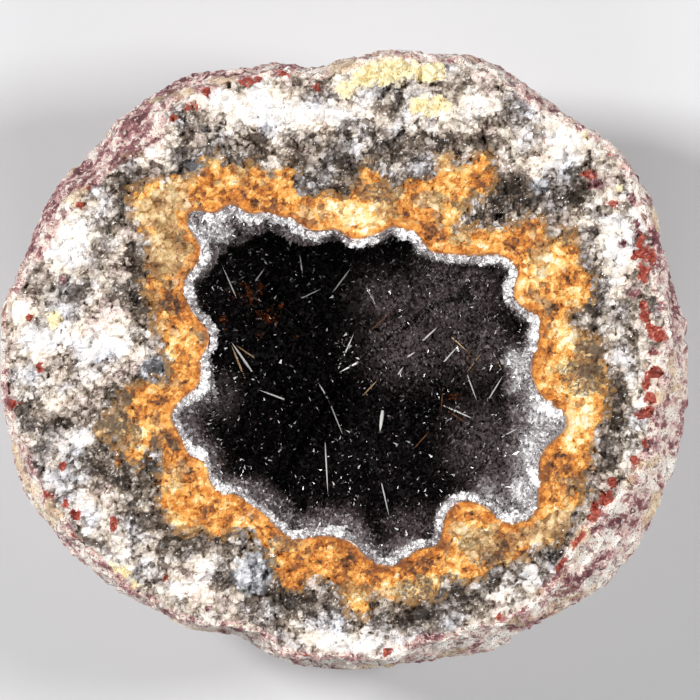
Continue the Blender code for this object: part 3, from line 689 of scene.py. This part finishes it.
# the band's tone takes the painted facet shading and the painted glints too
band_tone = rough.total(
    -0.995, (zone_noise, 0.9), (blotches, 1.35), (fine_noise, 0.40), (flake_tone, 0.20),
    (rough.field("small_grain_tone"), 0.16), (painted_facet_shade, 0.30), (painted_glint, 0.10), (contour, -0.16),
    (zone("cream", 2.0, 0.0, 0.3), 0.20), (zone("rust", 2.0, 0.0, 0.3), -0.13))
goethite = rough.ramp(
    band_tone, (0.10, (0.045, 0.020, 0.010)), (0.28, (0.22, 0.075, 0.018)), (0.42, (0.52, 0.175, 0.026)),
    (0.54, (0.72, 0.31, 0.055)), (0.66, (0.82, 0.47, 0.13)), (0.80, (0.90, 0.68, 0.33)),
    (0.97, (0.93, 0.86, 0.66)))
olive = rough.times(rough.between(rough.noise(small_middle, 0.24, 3.0, 0.6, 0.6), 0.55, 0.58), 0.75)
tan = rough.maths("MAXIMUM", zone("tan", 2.0, 0.08, 0.22), olive)
specks = rough.total(0.175, (speck_noise, 1.0), (tan, 0.05), (zone_noise, -0.35))
goethite = rough.blend(rough.between(specks, 0.62, 0.68), goethite, (0.070, 0.035, 0.020), 0.55)
tan_rock = rough.ramp(
    tone, (0.0, (0.05, 0.03, 0.018)), (0.35, (0.27, 0.17, 0.08)), (0.6, (0.53, 0.37, 0.19)),
    (0.9, (0.82, 0.67, 0.44)))
goethite = rough.blend(tan, goethite, tan_rock, 0.75)
orange_rock = rough.ramp(
    band_tone, (0.25, (0.24, 0.07, 0.012)), (0.45, (0.55, 0.18, 0.022)), (0.65, (0.74, 0.31, 0.05)),
    (0.9, (0.86, 0.50, 0.16)))
goethite = rough.blend(zone("past_mouth", 5.0, 1.6, 1.2), goethite, orange_rock, 0.75)
peppered = zone("peppered", 1.8, 0.02, 0.10)
pepper = rough.times(peppered, rough.between(rough.total(tiny_tone, (flake_tone, 0.3)), 0.70, 0.80))
goethite = rough.blend(peppered, goethite, tan_rock, 0.5)
goethite = rough.blend(pepper, goethite, (0.10, 0.07, 0.05), 0.8)
goethite = rough.blend(zone("dark", 1.8, 0.18, 0.28), goethite, (0.11, 0.075, 0.05), 0.75)
goethite = rough.blend(zone("past_mouth", 1.2, 0.65, 0.35), goethite, (0.24, 0.09, 0.03), 0.7)
edge_in = rough.total(-0.1, (rough.field("past_band"), 1.0), (ragged, 2.6), (fine_noise, 0.2))
is_band = rough.between(edge_in, 0.12, -0.12)
stain = rough.between(rough.total(edge_in, (flake_tone, 1.6)), 1.5, 1.0)
quartz = rough.blend(stain, quartz, (0.40, 0.22, 0.08), 0.7)
face_colour = rough.blend(is_band, quartz, goethite)

# rind: worn clay and chalcedony, pink and cream with wine-coloured streaks
layers = rough.shaken(tiny_middle, 0.5, 1.2)
rind_tone = rough.total(
    -0.405, (rough.noise(layers, 0.22, 5.0, 0.68), 1.35), (rough.field("rosy"), -0.075), (flake_tone, 0.22),
    (fine_noise, 0.28))
rind = rough.ramp(
    rind_tone, (0.30, (0.13, 0.040, 0.048)), (0.40, (0.36, 0.16, 0.165)), (0.48, (0.64, 0.43, 0.40)),
    (0.57, (0.80, 0.68, 0.59)), (0.70, (0.90, 0.86, 0.80)))
streaks = rough.total(-0.03, (rough.noise(layers, 0.6, 3.0, 0.65), 1.0), (tiny_tone, 0.06))
rind = rough.blend(rough.between(streaks, 0.55, 0.60), rind, (0.16, 0.038, 0.05), 0.75)
chalk = rough.noise(layers, 1.1, 4.0, 0.75)
rind = rough.blend(rough.between(chalk, 0.55, 0.61), rind, (0.88, 0.83, 0.76), 0.75)
clay = rough.noise(layers, 0.12, 3.0, 0.6)
rind = rough.blend(rough.between(clay, 0.56, 0.64), rind, (0.78, 0.62, 0.38), 0.6)
rind = rough.blend(rough.between(speck_noise, 0.60, 0.68), rind, (0.08, 0.04, 0.038))
on_skin = rough.maths(
    "MAXIMUM", zone("from_rim", 2.4, 0.9, 0.3), rough.between(rough.field("skin"), 0.3, 0.7))

# spots of pale ochre, red jasper and wine-coloured clay in the outer quartz
spot_edge = rough.total(-0.55, (ragged, 1.6), (fine_noise, 1.1))
ochre = rough.between(rough.maths("ADD", rough.field("ochre"), spot_edge), -0.15, 0.05)
ochre_colour = rough.ramp(
    fine_noise, (0.28, (0.50, 0.36, 0.17)), (0.46, (0.87, 0.75, 0.45)), (0.70, (0.93, 0.87, 0.64)))
colour = rough.blend(on_skin, rough.blend(ochre, face_colour, ochre_colour), rind)
on_face = rough.between(rough.field("skin"), 0.9, 0.4)
red = rough.between(rough.maths("ADD", rough.field("red"), spot_edge), -0.12, 0.08)
red_colour = rough.ramp(
    fine_noise, (0.30, (0.08, 0.012, 0.010)), (0.50, (0.32, 0.05, 0.032)), (0.70, (0.54, 0.16, 0.10)))
colour = rough.blend(red, colour, red_colour, on_face)
wine = rough.between(rough.maths("ADD", rough.field("wine"), spot_edge), 0.0, 0.3)
wine_colour = rough.ramp(
    fine_noise, (0.30, (0.04, 0.012, 0.016)), (0.50, (0.16, 0.045, 0.05)), (0.70, (0.45, 0.24, 0.25)))
colour = rough.blend(wine, colour, wine_colour, on_face)
rough.feed(rough.shader, "Base Color", colour)

# sheen and the finest relief: grains shine each in its own way, the band and the rind are dull
glassy = rough.total(0.18, (flake_tone, 0.35))
dull = rough.maths("MAXIMUM", is_band, on_skin)
sheen = rough.add("ShaderNodeMix", ((0, dull), (2, glassy), (3, 0.78)), data_type="FLOAT")
rough.feed(rough.shader, "Roughness", sheen.outputs[0])
lumps = rough.total(flake_tone, (small_distance, -0.3), (tiny_distance, -0.2), (speck_noise, 0.25))
bump = rough.add("ShaderNodeBump", (("Strength", 0.6), ("Distance", 0.12 * MM), ("Height", lumps)))
rough.feed(rough.shader, "Normal", bump.outputs[0])
rock.data.materials.clear()
rock.data.materials.append(rough.material)
choose(rock)
bpy.ops.object.shade_flat()
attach(rock, "root")
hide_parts("geode_shell")

# The lining: a thin sheet of chalcedony that coats the hollow, white where the saw cut it at the mouth
# and smoke-dark further down. Light falling on its walls is painted in as a grey that fades out deeper
# down. It is swollen into low domes, and its outer side sits in the rock.
# The white lip's width is given for each direction round the hollow, in degrees and mm.
LIP_WIDTH = [
    (-180, 0.45), (-150, 0.55), (-110, 0.55), (-75, 0.65), (-45, 0.6), (-15, 0.85), (5, 0.9), (20, 0.5),
    (50, 0.55), (90, 0.5), (115, 0.6), (132, 0.9), (145, 0.5), (180, 0.45),
]
LINING_UNEVEN = 0.9
LINING_IN_ROCK = 0.45
LIP_IN_ROCK = 0.6
LIP_DROP = 0.35
OUTER_STEP = 4
# how far the painted light, a grey, reaches in from the mouth at each direction, and how strong it is there
PAINTED_LIGHT_REACH = [
    (-180, 2.6), (-167, 2.6), (-150, 1.4), (-143, 1.6), (-135, 3.6), (-115, 4.2), (-99, 4.2), (-90, 2.0),
    (-81, 2.4), (-70, 0.5), (-50, 0.5), (-40, 4.0), (-33, 4.2), (-22, 4.6), (-12, 6.0), (-5, 5.2), (3, 4.0),
    (12, 1.5), (17, 1.0), (30, 0.6), (48, 0.6), (60, 0.4), (82, 0.4), (100, 0.5), (112, 1.6), (126, 3.0),
    (138, 3.0), (144, 1.3), (153, 0.5), (163, 0.6), (172, 1.6), (180, 2.6),
]
# the painted light fades out between these depths, as painted shade deeper down
GREY_DEEPEST = 13.0
GREY_SINKS = 9.0
GREY_MARGIN = 0.5
GREY_STRETCH = 1.15
GREY_FADE = 2.6
PAINTED_LIGHT_STRENGTH = [(-180, 0.50), (-60, 0.50), (-42, 0.64), (2, 0.64), (15, 0.50), (180, 0.50)]
# parts of the walls painted dim grey or white where light falls on them, and parts that are rusty, as
# (x, y, half width, half height) in mm
PAINTED_LIGHT_DIM_WALLS = [
    (14.0, 9.0, 9.0, 8.0), (17.0, 2.0, 7.5, 6.5), (18.5, -11.5, 6.5, 8.0), (8.0, 2.0, 8.0, 7.0),
    (9.0, -22.0, 5.0, 3.0), (-16.5, -5.0, 3.0, 4.0), (6.0, 9.0, 7.0, 5.0),
]
PAINTED_LIGHT_WHITE_WALLS = [
    (22.4, -1.5, 2.6, 3.8), (27.0, -7.6, 3.6, 3.0), (25.5, -12.5, 2.6, 4.0), (24.0, -17.5, 2.6, 2.8),
    (-17.6, 17.0, 3.4, 1.8), (-11.0, 15.4, 4.0, 1.3), (-3.0, 13.6, 3.0, 1.0), (-16.8, -3.6, 1.6, 2.6),
]
SPOT_EDGE = 0.3
PAINTED_DIM_TONE = 0.33
MOUTH_TONE = 0.56
MOUTH_FADE = 0.3
WHITE_TONE = 0.78
WHITE_EDGE = 0.8
WHITE_DEEPEST = 15.0
WHITE_SINKS = 6.0
RUST_WALLS = [
    (-12.9, 8.0, 0.7, 0.7), (-8.7, 7.3, 0.7, 0.7), (-11.6, 3.3, 0.9, 0.7), (-6.4, 3.2, 0.7, 0.6),
    (-16.4, 5.3, 0.9, 1.6), (-16.6, -13.2, 0.7, 1.2), (-10.5, 5.5, 2.6, 2.0), (14.5, -5.0, 1.6, 0.8),
    (-13.0, 9.0, 3.0, 2.0),
]


def on_grid(rings):
    """Points of stacked rings as one list."""
    return rings.reshape(-1, 3)


plain_wall = hollow_rings(WALL_AROUND, WALL_LEVELS)
plain_normals = surface_normals(on_grid(plain_wall), wall_faces).reshape(plain_wall.shape)
back = plain_wall - plain_normals * LINING_IN_ROCK
back[0] += (plain_wall[0] - back[0]) * LIP_IN_ROCK
back[0, :, 2] = -LIP_DROP
back = back[::OUTER_STEP][::-1]
off_middle = plain_wall[0, :, :2] - HOLLOW_MIDDLE
directions = np.degrees(np.arctan2(off_middle[:, 1], off_middle[:, 0]))
thickness = np.interp(directions, *zip(*LIP_WIDTH))
uneven = softened(np.random.default_rng(3).normal(0.0, 1.0, (WALL_AROUND, 1)), 2)[:, 0]
thickness *= 1.0 + LINING_UNEVEN * uneven
front = wall.reshape(plain_wall.shape) + wall_normals.reshape(plain_wall.shape) * thickness[None, :, None]
front[0, :, 2] = -LIP_DROP
lining_rings = np.concatenate((back, front))
lining_points = np.vstack((on_grid(lining_rings), back[0].mean(axis=0), front[-1].mean(axis=0)))
lining_faces = ring_faces(WALL_AROUND, len(lining_rings)).tolist()
front_start = (len(lining_rings) - 1) * WALL_AROUND
for step in range(WALL_AROUND):
    beside = (step + 1) % WALL_AROUND
    lining_faces.append((step, beside, len(lining_points) - 2))
    lining_faces.append((front_start + beside, front_start + step, len(lining_points) - 1))
lining = new_mesh_object("druse_lining", lining_points, lining_faces)
face_outward(lining)
bpy.ops.object.shade_smooth()
front_wall = on_grid(front)
front_tree = BVHTree.FromPolygons(front_wall.tolist(), wall_faces.tolist())


def paleness_with_painted_light(places):
    """How pale the druse is at each place, painted light included: 0 is smoke-black and 1 is white."""
    flat = places[:, :2]
    depth = np.maximum(-places[:, 2], 0.0)
    within = np.maximum(-line_distance(flat, softened(closed_line(MOUTH, WALL_AROUND), 1)), 0.0)
    off = flat - HOLLOW_MIDDLE
    directions = np.degrees(np.arctan2(off[:, 1], off[:, 0]))
    # painted light: a grey reaching in from the mouth, fading out deeper down
    reach = GREY_STRETCH * np.interp(directions, *zip(*PAINTED_LIGHT_REACH))
    fading = np.exp(-((np.maximum(within - GREY_MARGIN, 0.0) / reach) ** GREY_FADE))
    painted_grey_light = np.interp(directions, *zip(*PAINTED_LIGHT_STRENGTH)) * fading * ease((GREY_DEEPEST - depth) / GREY_SINKS)
    # painted light on the dim grey walls
    painted_dim_light = ease(spotted(flat, PAINTED_LIGHT_DIM_WALLS) + SPOT_EDGE) * PAINTED_DIM_TONE
    near_mouth = MOUTH_TONE * np.exp(-np.maximum(depth - LIP_DROP, 0.0) / MOUTH_FADE)
    # painted light on the white walls, fading out deeper down
    white = WHITE_TONE * ease((spotted(flat, PAINTED_LIGHT_WHITE_WALLS) + SPOT_EDGE) / WHITE_EDGE)
    white *= ease((WHITE_DEEPEST - depth) / WHITE_SINKS)
    return np.clip(np.max((painted_grey_light, painted_dim_light, near_mouth, white), axis=0), 0.0, 1.0)


keep_field(lining, "pale", paleness_with_painted_light(lining_points))
keep_field(lining, "rusty", np.full(len(lining_points), -1.0))


def druse_finish(name, roughness, gloss):
    """Smoky quartz: pale as the mesh's own field says, with a few iron-brown points."""
    smoky = Recipe(name)
    here = smoky.places_in_mm()
    grain = smoky.maths("SUBTRACT", smoky.noise(here, 2.6, 3.0, 0.6), 0.5)
    pale = smoky.total(smoky.field("pale"), (grain, 0.35))
    colour = smoky.ramp(
        pale, (0.02, (0.002, 0.0015, 0.002)), (0.25, (0.030, 0.022, 0.021)), (0.50, (0.165, 0.132, 0.131)),
        (0.75, (0.44, 0.415, 0.42)), (0.97, (0.93, 0.92, 0.92)))
    rusty = smoky.between(smoky.maths("ADD", smoky.field("rusty"), grain), 0.0, 0.4)
    colour = smoky.blend(rusty, colour, (0.19, 0.045, 0.010), 0.8)
    smoky.feed(smoky.shader, "Base Color", colour)
    smoky.feed(smoky.shader, "Roughness", roughness)
    smoky.feed(smoky.shader, "Specular IOR Level", gloss)
    return smoky.material


lining.data.materials.append(druse_finish("chalcedony_lining", 0.62, 0.12))
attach(lining, "root")
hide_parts("crystal_crust")

# The druse: thousands of small six-sided quartz points that stand on the lining, each on its own lean.
# They are smoke-dark and glossy, so here and there a face catches the light. They take the lining's
# paleness with its painted light, and a few tiny ones are painted white as glints.
CRYSTALS = 36000
CRYSTAL_RADIUS = (0.14, 0.40)
CRYSTAL_HEIGHT = (1.1, 2.0)
CRYSTAL_LEAN = 0.50
CRYSTAL_SUNK = 0.3
CRYSTAL_SIDES = 6
CRYSTAL_SQUEEZE = (0.85, 1.15)
TIP_OFF = 0.2
POINTS_EACH = CRYSTAL_SIDES + 1
HIGHEST_TIP = -0.02
PALE_SCATTER = 0.10
RUST_SCATTER = 1.15
# a share of crystals made tiny and painted white, as painted glints
PAINTED_GLINT_SHARE = 0.035
PAINTED_GLINT_SIZE = 0.45
PAINTED_GLINT_PALE = (0.45, 1.0)


def grow_crystals(name, centres, axes, radii, heights, sink):
    """One mesh of six-sided points, each a closed pyramid sunk a little into what it grows on."""
    count = len(centres)
    axes = axes / np.linalg.norm(axes, axis=1)[:, None]
    side = np.cross(axes, rng.normal(0.0, 1.0, (count, 3)))
    side /= np.linalg.norm(side, axis=1)[:, None]
    across = np.cross(axes, side)
    rings = []
    for corner in range(CRYSTAL_SIDES):
        turn = corner * 2.0 * math.pi / CRYSTAL_SIDES
        reach = radii * rng.uniform(*CRYSTAL_SQUEEZE, count)
        spoke = side * math.cos(turn) + across * math.sin(turn)
        rings.append(centres - axes * sink[:, None] + spoke * reach[:, None])
    off_axis = radii * rng.uniform(-TIP_OFF, TIP_OFF, count)
    tips = centres + axes * heights[:, None] + side * off_axis[:, None]
    points = np.stack((*rings, tips), axis=1).reshape(-1, 3)
    points[:, 2] = np.minimum(points[:, 2], HIGHEST_TIP)
    faces = []
    for start in range(0, len(points), POINTS_EACH):
        tip = start + CRYSTAL_SIDES
        for corner in range(CRYSTAL_SIDES):
            faces.append((start + corner, start + (corner + 1) % CRYSTAL_SIDES, tip))
        faces.append(tuple(range(tip - 1, start - 1, -1)))
    return new_mesh_object(name, points, faces)


def coat(crystals, pale, rusty, finish):
    """Tell every point of a crystal how pale and how rusty its crystal is, and give the mesh its finish."""
    keep_field(crystals, "pale", np.repeat(pale, POINTS_EACH))
    keep_field(crystals, "rusty", np.repeat(rusty, POINTS_EACH))
    crystals.data.materials.append(finish)


corners = front_wall[wall_faces]
sides = np.cross(corners[:, 2] - corners[:, 0], corners[:, 3] - corners[:, 1])
areas = np.linalg.norm(sides, axis=1) / 2.0
chosen = rng.choice(len(wall_faces), CRYSTALS, p=areas / areas.sum())
mixing = rng.dirichlet((1.0, 1.0, 1.0, 1.0), CRYSTALS)
crystal_feet = np.einsum("nc,ncd->nd", mixing, corners[chosen])
crystal_axes = sides[chosen] / np.linalg.norm(sides[chosen], axis=1)[:, None]
crystal_axes += rng.normal(0.0, CRYSTAL_LEAN, (CRYSTALS, 3))
small_share = rng.power(1.6, CRYSTALS)
crystal_radii = CRYSTAL_RADIUS[1] - (CRYSTAL_RADIUS[1] - CRYSTAL_RADIUS[0]) * small_share
crystal_heights = crystal_radii * rng.uniform(*CRYSTAL_HEIGHT, CRYSTALS)
crystal_pale = np.clip(paleness_with_painted_light(crystal_feet) + rng.normal(0.0, PALE_SCATTER, CRYSTALS), 0.0, 1.0)
# painted glints: a few crystals made tiny and pale
painted_glints = rng.random(CRYSTALS) < PAINTED_GLINT_SHARE
crystal_pale[painted_glints] = rng.uniform(*PAINTED_GLINT_PALE, painted_glints.sum())
crystal_radii[painted_glints] *= PAINTED_GLINT_SIZE
crystal_rusty = spotted(crystal_feet[:, :2], RUST_WALLS) - rng.uniform(0.0, RUST_SCATTER, CRYSTALS)
crystal_glass = druse_finish("smoky_crystals", 0.12, 0.24)
is_deep = crystal_feet[:, 2] < np.median(crystal_feet[:, 2])
for name, kept in (("druse_of_the_walls", ~is_deep), ("druse_of_the_floor", is_deep)):
    druse = grow_crystals(
        name, crystal_feet[kept], crystal_axes[kept], crystal_radii[kept], crystal_heights[kept],
        crystal_radii[kept] * CRYSTAL_SUNK)
    coat(druse, crystal_pale[kept], crystal_rusty[kept], crystal_glass)
    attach(druse, "root")
    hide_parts("crystal_crust")

# The points of the lip: bigger pale quartz crystals just inside the mouth. They are thickest in its
# upper left corner and where the lower and right walls slope in, and take their paleness, painted light
# included, from the walls they stand on.
LIP_POINTS = 2600
LIP_POINT_RADIUS = (0.22, 0.60)
LIP_POINT_HEIGHT = (0.8, 1.5)
LIP_POINT_LEAN = 0.6
LIP_POINT_SUNK = 0.5
LIP_POINT_TONE = (0.08, 0.16)
LIP_POINTS_TOP = -0.6
middles = corners.mean(axis=1)
grey_share = areas * np.clip(paleness_with_painted_light(middles) - PAINTED_DIM_TONE, 0.0, 1.0) * (middles[:, 2] < LIP_POINTS_TOP)
picked = rng.choice(len(wall_faces), LIP_POINTS, p=grey_share / grey_share.sum())
point_feet = middles[picked]
point_axes = sides[picked] / np.linalg.norm(sides[picked], axis=1)[:, None]
point_axes += rng.normal(0.0, LIP_POINT_LEAN, (LIP_POINTS, 3))
small_share = rng.power(2.0, LIP_POINTS)
point_radii = LIP_POINT_RADIUS[1] - (LIP_POINT_RADIUS[1] - LIP_POINT_RADIUS[0]) * small_share
point_pale = np.clip(paleness_with_painted_light(point_feet) + rng.normal(*LIP_POINT_TONE, LIP_POINTS), 0.0, 1.0)
point_heights = point_radii * rng.uniform(*LIP_POINT_HEIGHT, LIP_POINTS)
lip_crystals = grow_crystals(
    "points_of_the_lip", point_feet, point_axes, point_radii, point_heights, point_radii * LIP_POINT_SUNK)
coat(lip_crystals, point_pale, np.full(LIP_POINTS, -1.0), crystal_glass)
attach(lip_crystals, "root")
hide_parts("crystal_crust")

# The sugar rim: the lining's sawn lip is crusted with tiny white quartz crystals, all round the mouth.
# They stand up from the lip, thick in some places and thin in others, and a few hang over its inner edge.
SUGAR = 6500
SUGAR_RADIUS = (0.14, 0.42)
SUGAR_HEIGHT = (0.8, 1.6)
SUGAR_LEAN = 0.45
SUGAR_SUNK = 0.6
SUGAR_SPREAD = (1.9, 0.34)
SUGAR_START = 0.12
SUGAR_DROP = 1.3
SUGAR_TURN = 3.0
SUGAR_PATCHES = 0.7
SUGAR_LIMITS = (0.5, 1.5)
SUGAR_TONE = (0.52, 1.02)
lip_out = back[-1]
lip_in = front[0]
spots_round = rng.integers(0, WALL_AROUND, SUGAR)
share = (SUGAR_START + rng.gamma(*SUGAR_SPREAD, SUGAR))[:, None]
beside = (spots_round + 1) % WALL_AROUND
slide = rng.uniform(0.0, 1.0, SUGAR)[:, None]
start = lip_out[spots_round] * (1.0 - slide) + lip_out[beside] * slide
end = lip_in[spots_round] * (1.0 - slide) + lip_in[beside] * slide
sugar_feet = start + (end - start) * np.minimum(share, 1.0)
over_edge = np.maximum(share - 1.0, 0.0)
sugar_feet[:, 2:] -= over_edge * SUGAR_DROP
inwards = (end - start) / np.linalg.norm(end - start, axis=1)[:, None]
sugar_axes = np.array((0.0, 0.0, 1.0)) + inwards * over_edge * SUGAR_TURN
sugar_axes += rng.normal(0.0, SUGAR_LEAN, (SUGAR, 3))
patchy = softened(rng.normal(0.0, 1.0, (WALL_AROUND, 1)), 3)[spots_round, 0]
sugar_radii = rng.uniform(*SUGAR_RADIUS, SUGAR) * np.clip(1.0 + SUGAR_PATCHES * patchy, *SUGAR_LIMITS)
sugar_heights = sugar_radii * rng.uniform(*SUGAR_HEIGHT, SUGAR)
sugar = grow_crystals(
    "sugar_rim", sugar_feet, sugar_axes, sugar_radii, sugar_heights, sugar_radii * SUGAR_SUNK)
# crystals that hang over the inner edge are made darker the further they hang, as painted shade inside the
# mouth
sugar_pale = rng.uniform(*SUGAR_TONE, SUGAR) + 0.3 * patchy - over_edge[:, 0] * 0.2
coat(sugar, sugar_pale, np.full(SUGAR, -1.0), druse_finish("sugar_crystals", 0.28, 0.5))
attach(sugar, "root")
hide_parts("crystal_crust")

# The needles: slender goethite blades, silvery or golden brown, that lie loose over the druse.
# Each stands with its foot on the wall below it and leans across the hollow. A row of the list is one
# needle: the place of its foot and tip seen from above, its width in mm and its colour.
NEEDLES = [
    (-15.3, 2.4, -12.5, -1.7, 0.34, "silver"), (-15.3, 2.0, -13.6, -2.3, 0.30, "gold"),
    (-14.7, 2.0, -12.0, 0.1, 0.20, "gold"), (1.2, 3.6, -1.1, -1.6, 0.24, "silver"),
    (3.3, 0.5, -0.8, -1.7, 0.34, "silver"), (-3.6, -3.1, -2.3, -5.3, 0.24, "silver"),
    (-2.3, -5.3, -0.3, -10.1, 0.20, "silver"), (-11.7, -4.0, -6.7, -5.9, 0.26, "silver"),
    (2.8, 10.0, 4.4, 6.8, 0.22, "silver"), (4.7, 14.9, 6.7, 12.5, 0.22, "silver"),
    (12.4, 4.4, 10.4, 2.5, 0.28, "silver"), (9.5, 1.1, 8.3, 0.3, 0.24, "silver"),
    (7.9, -0.9, 6.9, -2.4, 0.24, "silver"), (15.2, 1.9, 12.8, -0.9, 0.24, "silver"),
    (18.3, 0.9, 16.4, -1.7, 0.24, "gold"), (14.1, 3.3, 16.5, 1.1, 0.20, "gold"),
    (16.9, 1.6, 16.3, -0.9, 0.22, "brown"), (20.3, 0.3, 20.9, -1.1, 0.26, "gold"),
    (16.5, -2.1, 17.7, -5.5, 0.18, "silver"), (21.2, -2.1, 19.3, -5.3, 0.20, "silver"),
    (13.2, -3.7, 12.9, -7.2, 0.22, "brown"), (13.2, -6.1, 17.2, -7.9, 0.24, "silver"),
    (13.4, -6.6, 16.6, -8.6, 0.18, "brown"), (23.1, -9.1, 20.7, -10.5, 0.20, "silver"),
    (11.3, -9.7, 9.2, -12.0, 0.18, "brown"), (-2.7, -10.9, -2.3, -18.0, 0.18, "silver"),
    (4.9, -16.5, 5.9, -20.9, 0.18, "silver"), (4.4, -2.7, 2.5, -4.7, 0.20, "gold"),
    (-16.5, 12.7, -14.5, 8.0, 0.18, "silver"), (-10.8, 12.4, -12.5, 10.1, 0.20, "silver"),
    (-6.1, 14.3, -5.7, 11.1, 0.18, "silver"), (0.8, 12.4, -1.6, 9.2, 0.20, "silver"),
    (-3.2, 9.6, -5.9, 8.3, 0.16, "silver"), (6.3, 6.6, 3.3, 3.8, 0.16, "brown"),
    (5.1, -6.7, 4.7, -9.7, 0.50, "silver"),
]
NEEDLE_SIDES = 6
NEEDLE_RINGS = ((0.0, 0.6), (0.35, 1.0), (0.75, 0.7))
NEEDLE_POINTS = NEEDLE_SIDES * len(NEEDLE_RINGS) + 1
NEEDLE_FLATNESS = 0.5
NEEDLE_CLEARANCE = 1.3
NEEDLE_RISE = 1.2
NEEDLE_TOP = -0.6
NEEDLE_SUNK = 0.3
RAY_START = 5.0
NEEDLE_TINTS = {"silver": 0.85, "gold": 0.5, "brown": 0.15}
needle_points = []
needle_faces = []
needle_tints = []


def wall_height(x, y):
    """The height of the lining under a place, in mm from the cut face."""
    hit = front_tree.ray_cast((x, y, RAY_START), (0.0, 0.0, -1.0))[0]
    return hit.z if hit else -HOLLOW_DEPTH


for x_foot, y_foot, x_tip, y_tip, width, tint in NEEDLES:
    foot = np.array((x_foot, y_foot, wall_height(x_foot, y_foot)))
    tip = np.array((x_tip, y_tip, wall_height(x_tip, y_tip)))
    if foot[2] > tip[2]:
        foot, tip = tip, foot
    tip[2] = max(tip[2] + NEEDLE_CLEARANCE, foot[2] + NEEDLE_RISE)
    tip[2] = min(tip[2], NEEDLE_TOP)
    along = (tip - foot) / np.linalg.norm(tip - foot)
    foot -= along * NEEDLE_SUNK
    side = np.cross(along, (0.0, 0.0, 1.0))
    side /= np.linalg.norm(side)
    up = np.cross(side, along)
    start = len(needle_points)
    for share, size in NEEDLE_RINGS:
        middle = foot + (tip - foot) * share
        for corner in range(NEEDLE_SIDES):
            turn = corner * 2.0 * math.pi / NEEDLE_SIDES
            flat = side * math.cos(turn) * width + up * math.sin(turn) * width * NEEDLE_FLATNESS
            needle_points.append(middle + flat * size / 2.0)
    needle_points.append(tip)
    last = start + NEEDLE_POINTS - 1
    for ring in range(start, last, NEEDLE_SIDES):
        for corner in range(NEEDLE_SIDES):
            here = ring + corner
            beside = ring + (corner + 1) % NEEDLE_SIDES
            if ring + NEEDLE_SIDES < last:
                needle_faces.append((here, beside, beside + NEEDLE_SIDES, here + NEEDLE_SIDES))
            else:
                needle_faces.append((here, beside, last))
    needle_faces.append(tuple(start + corner for corner in reversed(range(NEEDLE_SIDES))))
    needle_tints += [NEEDLE_TINTS[tint]] * NEEDLE_POINTS
needles = new_mesh_object("goethite_needles", needle_points, needle_faces)
keep_field(needles, "silver", needle_tints)
blade = Recipe("goethite_blades")
here = blade.places_in_mm()
silver = blade.total(-0.25, (blade.noise(here, 2.0), 0.5), (blade.field("silver"), 1.0))
blade_colour = blade.ramp(
    silver, (0.1, (0.14, 0.04, 0.015)), (0.5, (0.55, 0.35, 0.16)), (0.8, (0.90, 0.87, 0.84)))
blade.feed(blade.shader, "Base Color", blade_colour)
blade.feed(blade.shader, "Roughness", 0.28)
blade.feed(blade.shader, "Metallic", 0.15)
needles.data.materials.append(blade.material)
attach(needles, "root")
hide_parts("crystal_crust")

# The floor: a plain pale table top under the stone, much wider than the stone is.
FLOOR_WIDTH = 6.0
bpy.ops.object.select_all(action="DESELECT")
bpy.ops.mesh.primitive_plane_add(size=FLOOR_WIDTH)
floor = bpy.context.active_object
floor.name = "floor"
table = Recipe("pale_table")
table.feed(table.shader, "Base Color", (0.62, 0.62, 0.63))
table.feed(table.shader, "Roughness", 0.9)
floor.data.materials.append(table.material)

# The light: a soft box above the stone on its left and on its right and a weaker one in front, in a dim
# and slightly cool room. Each is placed in metres, with its side length in metres and its power in watts.
ROOM_COLOUR = (0.9, 0.93, 1.0, 1.0)
ROOM_STRENGTH = 0.05
LIGHTS = [
    ((-0.62, 0.24, 0.72), 0.18, 9.2),
    ((0.62, 0.10, 0.72), 0.22, 6.0),
    ((0.05, -0.60, 0.60), 0.30, 1.6),
]
for place, size, power in LIGHTS:
    facing = Vector(place).to_track_quat("Z", "Y").to_euler()
    bpy.ops.object.light_add(type="AREA", location=place, rotation=facing)
    bpy.context.active_object.data.size = size
    bpy.context.active_object.data.energy = power
room = bpy.data.worlds.new("room")
room.use_nodes = True
room.node_tree.nodes["Background"].inputs[0].default_value = ROOM_COLOUR
room.node_tree.nodes["Background"].inputs[1].default_value = ROOM_STRENGTH
bpy.context.scene.world = room
bpy.context.scene.view_settings.view_transform = "Standard"

# The camera: it looks straight down on the cut face from 2 m through a long lens, at 7.5 pixels for each
# millimetre, and is centred a little to the right of the stone's middle and above it.
CAMERA_UP = 2.0
PIXELS_PER_MM = 7.5
PIXELS_ACROSS = 700
OFF_CENTRE = (5, 10)
VIEW_WIDTH = PIXELS_ACROSS / PIXELS_PER_MM * MM
camera_data = bpy.data.cameras.new("camera")
camera = bpy.data.objects.new("camera", camera_data)
bpy.context.scene.collection.objects.link(camera)
camera.location = (*(step / PIXELS_PER_MM * MM for step in OFF_CENTRE), CUT_HEIGHT + CAMERA_UP)
camera_data.lens = camera_data.sensor_width * CAMERA_UP / VIEW_WIDTH
camera_data.clip_end = 10.0
bpy.context.scene.camera = camera
